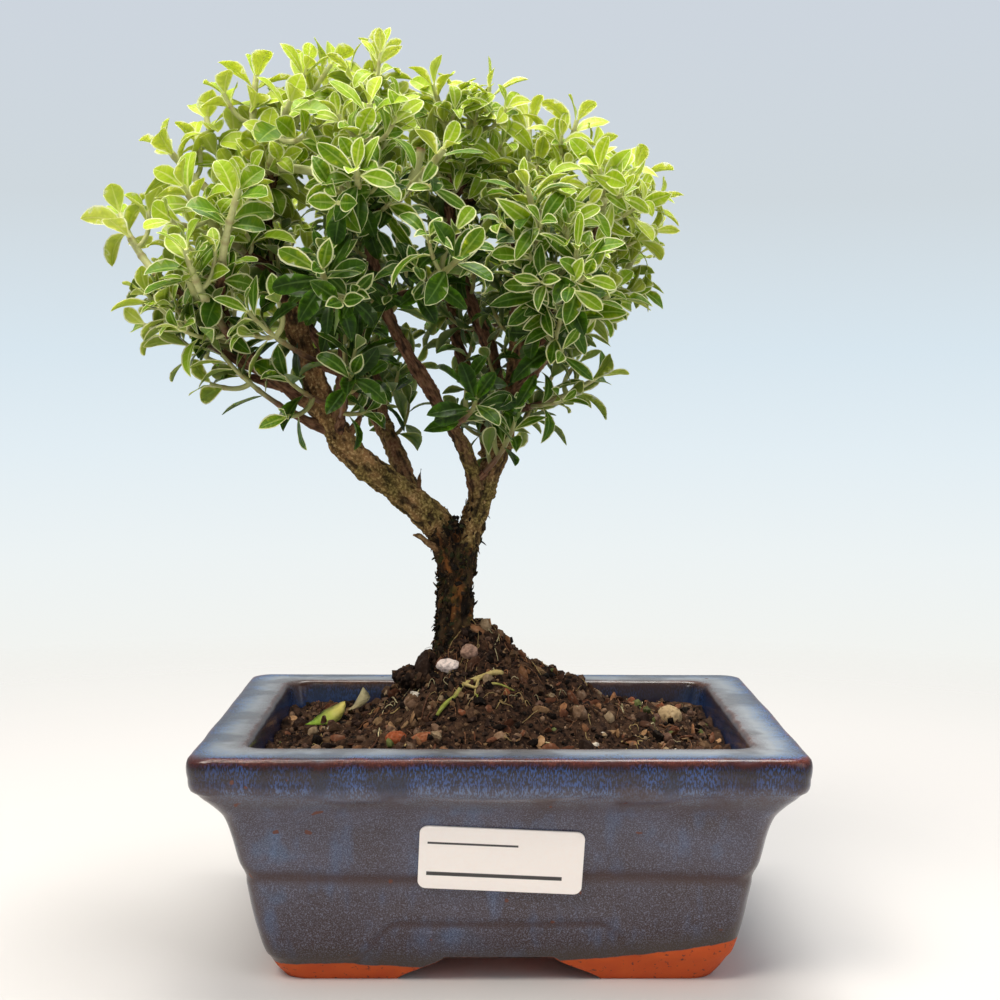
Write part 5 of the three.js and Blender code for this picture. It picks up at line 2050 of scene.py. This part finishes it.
@dataclass
class SoilBed:
    """The soil in the pot and all that lies on it: crumbs, grit, stones, husks, shed leaves and rootlets."""

    placement: Placement
    rings: int = 160
    side_steps: tuple[int, int] = (150, 112)
    clearance: float = 0.3
    trunk_foot: Pair = (-12.0, 0.0)
    spread: Pair = (58.0, 43.0)
    crumb_count: int = 6400
    clod_at: Triple = (-20.5, -6.5, 70.6)
    clod_radii: Triple = (6.8, 5.2, 2.3)
    clod_count: int = 520
    grit_count: int = 560
    flake_count: int = 220
    straw_count: int = 150
    rootlet_count: int = 280
    hanging_count: int = 26

    def scatter(self, count: int, rng: Rng, reach: float = 1.0) -> tuple[Array, Array]:
        """Places on the soil inside the walls, spread evenly."""
        wide, deep = self.spread
        return rng.uniform(-wide, wide, count) * reach, rng.uniform(-deep, deep, count) * reach

    def kept_on(self, x: Array, y: Array) -> tuple[Array, Array]:
        """The places, moved back where they lie near the walls."""
        wide, deep = self.spread
        return x.clip(1 - wide, wide - 1), y.clip(1 - deep, deep - 1)

    def bed(self) -> Surface:
        """The soil as rings from the wall to the trunk's foot, over walls and a floor that follow the pot.

        Returns:
            The soil.
        """
        deep = np.array([12.3, 17.0, 30.0, 46.0, 51.0, 54.0])
        walls = WALLS.ring(WALLS.inside_inset(deep), self.side_steps, self.clearance)
        share = np.linspace(0, 1, self.rings, endpoint=False)[:, None, None] ** 0.9
        plan = walls[-1] + (np.array(self.trunk_foot) - walls[-1]) * share
        return tube(np.concatenate([raised(walls, deep)[:-1], lying(*np.moveaxis(plan, -1, 0), 0.0)]), {})

    def crumbs(self) -> Surface:
        """Peat crumbs, thickest on the heap, half sunk in it.

        Returns:
            The crumbs.
        """
        rng = np.random.default_rng(21)
        count = self.crumb_count
        x, y = self.scatter(count, rng)
        near = rng.random(count) < 0.4
        x = np.where(near, rng.normal(-9, 15, count), x)
        x, y = self.kept_on(x, np.where(near, rng.normal(-2, 14, count), y))
        size = rng.gamma(1.6, 0.24, (count, 1)).clip(0.15, 1.7) * rng.uniform(0.5, 1.4, (count, 3))
        tints = tints_of({"#130c08": 5, "#30211a": 5, "#4d3727": 4, "#6a5039": 2, "#8a6c4c": 0.7}, count, rng)
        return lumps(lying(x, y, 0.2 * size.mean(axis=1)), size, tints, 0, 22, 0.55)

    def clod(self) -> Surface:
        """A crumbly clod that hangs over the steep left side of the heap.

        Returns:
            The clod.
        """
        rng = np.random.default_rng(23)
        count = self.clod_count
        middle, radii = np.array(self.clod_at), np.array(self.clod_radii)
        spots = unit(rng.normal(size=(count, 3))) * (radii + 0.3) + middle
        size = rng.uniform(0.3, 1.1, (count, 1)) * rng.uniform(0.6, 1.4, (count, 3))
        tints = tints_of({"#1d130e": 4, "#33231a": 5, "#4d3727": 3, "#2b2a1a": 1}, count, rng)
        core = lumps(middle[None], radii[None], tints[:1], 3, 24, 0.18)
        return join([core, lumps(spots, size, tints, 0, 25, 0.5)])

    def grit(self) -> Surface:
        """Grit of tan, rust, pale and greenish grains, and flat bits of bark.

        Returns:
            The grains and flakes.
        """
        rng = np.random.default_rng(31)
        count = self.grit_count
        x, y = self.scatter(count, rng)
        size = rng.gamma(2.6, 0.28, (count, 1)).clip(0.35, 1.7) * rng.uniform(0.65, 1.25, (count, 3))
        tans = {"#6d5340": 5, "#7d614a": 3, "#7f4a30": 0.7, "#9a8264": 2, "#d9cdb9": 0.5, "#5a5f34": 1, "#5d4335": 4}
        grains = lumps(lying(x, y, 0.3 * size.mean(axis=1)), size, tints_of(tans, count, rng), 1, 32, 0.35)
        count = self.flake_count
        x, y = self.scatter(count, rng)
        flat = rng.uniform(0.8, 2.4, (count, 1)) * rng.uniform([0.7, 0.4, 0.12], [1.3, 0.7, 0.25], (count, 3))
        tints = tints_of({"#6f4530": 4, "#8a5f40": 3, "#4a3022": 4, "#a07a55": 1.5}, count, rng)
        return join([grains, lumps(lying(x, y, 0.5), flat, tints, 1, 34, 0.25)])

    def rootlets(self) -> Surface:
        """Thin curved roots and straws that lie on the soil, and fibres that hang from the clod.

        Returns:
            The roots and straws.
        """
        rng = np.random.default_rng(41)
        steps = np.linspace(0, 1, 9)
        made = []
        for k in range(self.straw_count + self.rootlet_count):
            fine = k >= self.straw_count
            x, y = self.scatter(1, rng, 0.94)
            if rng.random() < 0.5:
                x, y = rng.normal(-4, 14, 1), rng.normal(-8, 11, 1)
            heading = rng.uniform(0, 2 * np.pi)
            step = rng.uniform(2.5, 8.0) * (0.7 if fine else 1.0) / 9
            bend = heading + rng.normal(0, 1.8) * steps
            x, y = self.kept_on(x + np.cumsum(np.cos(bend)) * step, y + np.cumsum(np.sin(bend)) * step)
            centres = lying(x, y, rng.uniform(0.1, 0.5) + rng.uniform(0, 1.4) * np.sin(np.pi * steps))
            radii = (rng.uniform(0.06, 0.12) if fine else rng.uniform(0.1, 0.24)) * (1 - 0.5 * steps)
            tangents = unit(np.gradient(centres, axis=0) + 1e-6)
            rings = ringed(centres, tangents, np.array([0.1, 0.2, 1.0]), radii, 5)
            weights = [1, 2, 1, 4] if fine else [3, 3, 1.5, 3]
            straws = dict(zip(["#a98f5e", "#8a5f42", "#c2b489", "#5c3c2b"], weights))
            made.append(tube(rings, {"tint": tints_of(straws, 1, rng)[0]}))
        for _ in range(self.hanging_count):
            foot = lying(rng.normal(-19.0, 1.8, 1), rng.normal(-2.0, 2.0, 1), 0.0)[0]
            away = rng.uniform([-3.5, -2, -1.5], [0.5, 1, 1])
            path = Bow(foot, foot + [rng.normal(0, 1), 0, rng.uniform(2.0, 4.5)], foot + away)
            rings = path.rings(steps, np.array([0.1, 1.0, 0.2]), 0.1 * (1.3 - steps), 5)
            made.append(tube(rings, {"tint": tints_of({"#3b2d22": 2, "#5f4a36": 1}, 1, rng)[0]}))
        return join(made)

    def bare_root(self) -> Surface:
        """The yellow-green root over the heap, with two forks.

        Returns:
            The root.
        """
        routes = [
            [[1, -13], [-5, -14.5], [-9.5, -16], [-12, -20], [-16, -24]],
            [[-9.5, -16], [-6, -17], [-2, -16.5], [4, -17.5]],
            [[-5, -14.5], [-6.2, -17.5], [-5.5, -21]],
        ]
        widths = [(0.75, 0.5), (0.5, 0.2), (0.4, 0.15)]
        made = []
        for route, (start, end) in zip(routes, widths):
            rows = path_points(np.array(route, float), 0.7)
            lift = 0.5 + 0.5 * np.sin(np.linspace(0, 9, len(rows)))
            centres = np.column_stack([rows, soil_height(*rows.T) + lift])
            share = np.linspace(0, 1, len(rows))
            radii = (start + (end - start) * share) * (1 + 0.15 * np.sin(share * 23))
            rings = ringed(centres, unit(np.gradient(centres, axis=0)), np.array([0, 0.3, 1.0]), radii, 10)
            pale, green = tint_of("#b9a468"), tint_of("#8e9440")
            tint = pale + (green - pale) * smoothstep(0.3, 0.9, share)[:, None, None]
            made.append(tube(rings, {"tint": tint}))
        return join(made)

    def stone(self, seed: int, row: tuple) -> None:
        """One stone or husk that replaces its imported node, dented by as much of its radius as it is rough.

        Args:
            seed: picks its dents.
            row: its row of STONES.
        """
        name, slot, at, radii, colour, rough = row
        z = soil_height(*at) + 0.35 * radii[2]
        points, faces = ball(3)
        dents = relief(points * 1.6 + seed * 7, 1.0, seed, 4)
        body = points * np.array(radii) * (1 + rough * dents)[:, None] + np.array([*at, z])
        tint = np.broadcast_to(tint_of(colour), body.shape)
        finish = Tinted(f"{name} surface", grain=0.9, contrast=0.55)
        self.placement.piece(f"{name}_piece", Surface(body, faces, {"tint": tint}), [finish], slot, (name,))

    def shed_leaf(self, name: str, at: Pair, heading: float, length: float, *tint: str) -> None:
        """One shed leaf that stands tilted in the soil, cupped, dry towards its tip.

        Args:
            name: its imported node.
            at: where it stands.
            heading: its direction in degrees.
            length: its length.
            *tint: its colours at the foot and at the tip.
        """
        turn = math.radians(heading)
        along = np.array([math.cos(turn), math.sin(turn), 0.0])
        root = np.array([*at, soil_height(*at) + 1.6])
        lean, width, youth_and_light, curl = math.radians(7.0), 7.0, 0.5, 0.32
        leaf = Leaves(root[None], along[None], UP[None], *np.array([lean, length, width, youth_and_light, curl])[:, None])
        surface = leaf.surface(int(heading))
        inner, outer = (tint_of(c) for c in tint)
        blend = smoothstep(0.2, 1.0, surface.values["blade"][:, :1])
        surface.values = {"tint": inner + (outer - inner) * blend}
        finish = Tinted(f"{name} surface", grain=2.2, contrast=0.3, roughness=0.6)
        self.placement.piece(f"{name}_piece", surface, [finish], "shed_leaf", (name,))

    def build(self) -> None:
        """Makes the bed, then everything on it."""
        place = self.placement
        place.piece("soil_bed", self.bed(), [PottingSoil("potting soil")], "soil", ("soil",))
        crumb = Tinted("peat crumbs", contrast=0.5, pale=0.06)
        place.piece("soil_crumbs", self.crumbs(), [crumb], "soil", smooth=False)
        place.piece("soil_clod", self.clod(), [crumb], "soil", smooth=False)
        place.piece("grit", self.grit(), [Tinted("grit grains", grain=1.1)], "soil", crease=40)
        place.piece("rootlets", self.rootlets(), [Tinted("dry rootlets", contrast=0.3)], "root")
        root = Tinted("living root", contrast=0.3)
        place.piece("bare_root_piece", self.bare_root(), [root], "root", ("bare_root",))
        for seed, row in enumerate(STONES, 1):
            self.stone(seed, row)
        for row in SHED_LEAVES:
            self.shed_leaf(*row)


# ---- studio


SKY = [
    (0.0, "#fbf7f3"), (0.171, "#fbf7f3"), (0.279, "#f3f4f0"), (0.364, "#edf3f4"), (0.45, "#e3eef4"),
    (0.536, "#d8e6ef"), (0.663, "#cfd8de"), (0.808, "#cdd5de"), (1.0, "#ccd3dc"),
]


@dataclass
class Studio:
    """Pale floor, soft lights, a pale sky and the camera."""

    placement: Placement
    camera_at: Triple = (-4.6, -445.6, 146.5)
    yaw: float = 0.0109
    pitch: float = 0.0649
    roll: float = 0.0039
    lens: float = 59.62
    sky_light: float = 0.58
    lit_at: Triple = (0.0, 0.0, 0.12)
    floor_radius: float = 0.7
    floor_sides: int = 96

    def camera(self) -> None:
        """A camera by its place and three turns: right by yaw, down by pitch, and round its axis by roll."""
        data = bpy.data.cameras.new("camera")
        data.lens, data.sensor_width = self.lens, 36.0
        data.clip_start, data.clip_end = 0.01, 50.0
        made = linked("camera", data)
        made.matrix_world = Matrix.Translation(self.placement.metres(np.array(self.camera_at)))
        for angle, axis in ((-self.yaw, "Z"), (math.pi / 2 - self.pitch, "X"), (self.roll, "Z")):
            made.matrix_world @= Matrix.Rotation(angle, 4, axis)
        bpy.context.scene.camera = made

    def floor(self) -> None:
        """A round pale sweep whose edge fades out."""
        angle = np.linspace(0, 2 * np.pi, self.floor_sides, endpoint=False)
        rim = np.stack([np.cos(angle), np.sin(angle), 0 * angle], axis=-1) * self.floor_radius
        mesh = bpy.data.meshes.new("floor")
        mesh.from_pydata(rim.tolist(), [], [list(range(self.floor_sides))])
        mesh.materials.append(StudioPaper("studio paper").material())
        linked("floor", mesh)

    def light(self, name: str, at: Triple, size: float, power: float, colour: str) -> None:
        """A square soft light that faces the middle of the bonsai.

        Args:
            name: its name.
            at: where it hangs, in metres.
            size: its side in metres.
            power: in watts.
            colour: its sRGB colour.
        """
        data = bpy.data.lights.new(name, "AREA")
        data.size, data.energy, data.color = size, power, linear(colour)[:3]
        made = linked(name, data)
        made.location = at
        made.rotation_euler = (Vector(at) - Vector(self.lit_at)).to_track_quat("Z", "Y").to_euler()

    def sky(self) -> None:
        """A world that goes from warm white below the horizon to pale blue above."""
        world = bpy.data.worlds.new("studio")
        world.use_nodes = True
        bpy.context.scene.world = world
        add = partial(add_node, world.node_tree)
        height = add("SeparateXYZ", add("TexCoord", out="Generated"), out=2)
        colour = add("ValToRGB", add("MapRange", height, -0.35, 0.35), stops=SKY)
        seen = add("LightPath", out="Is Camera Ray")
        back = world.node_tree.nodes["Background"]
        feed(back.inputs["Color"], colour)
        feed(back.inputs["Strength"], add("MapRange", seen, 0.0, 1.0, self.sky_light, 1.0))

    def build(self) -> None:
        """Sets the whole studio up."""
        self.camera()
        self.floor()
        self.sky()
        self.light("key", (-0.45, -0.55, 1.05), 0.5, 10.0, "#fff8ee")
        self.light("fill", (0.8, -0.6, 0.6), 0.8, 2.4, "#f4f6ff")
        self.light("top", (0.05, 0.1, 1.15), 0.6, 12.0, "#fffdf8")
        bpy.context.scene.view_settings.view_transform = "Standard"


def main() -> None:
    """Builds every piece, then the studio."""
    logging.basicConfig(level=logging.INFO, format="%(name)s %(message)s")
    placement = Placement.of_pot()
    crown = Crown(placement)
    GlazedPot(placement).build()
    PaperLabel(placement).build()
    paths = [shoot.path for shoot in crown.shoots]
    starts = [shoot.start for shoot in crown.shoots]
    Wood(placement, paths, starts).build()
    crown.build()
    SoilBed(placement).build()
    Studio(placement).build()
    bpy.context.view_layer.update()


if __name__ == "__main__":
    main()
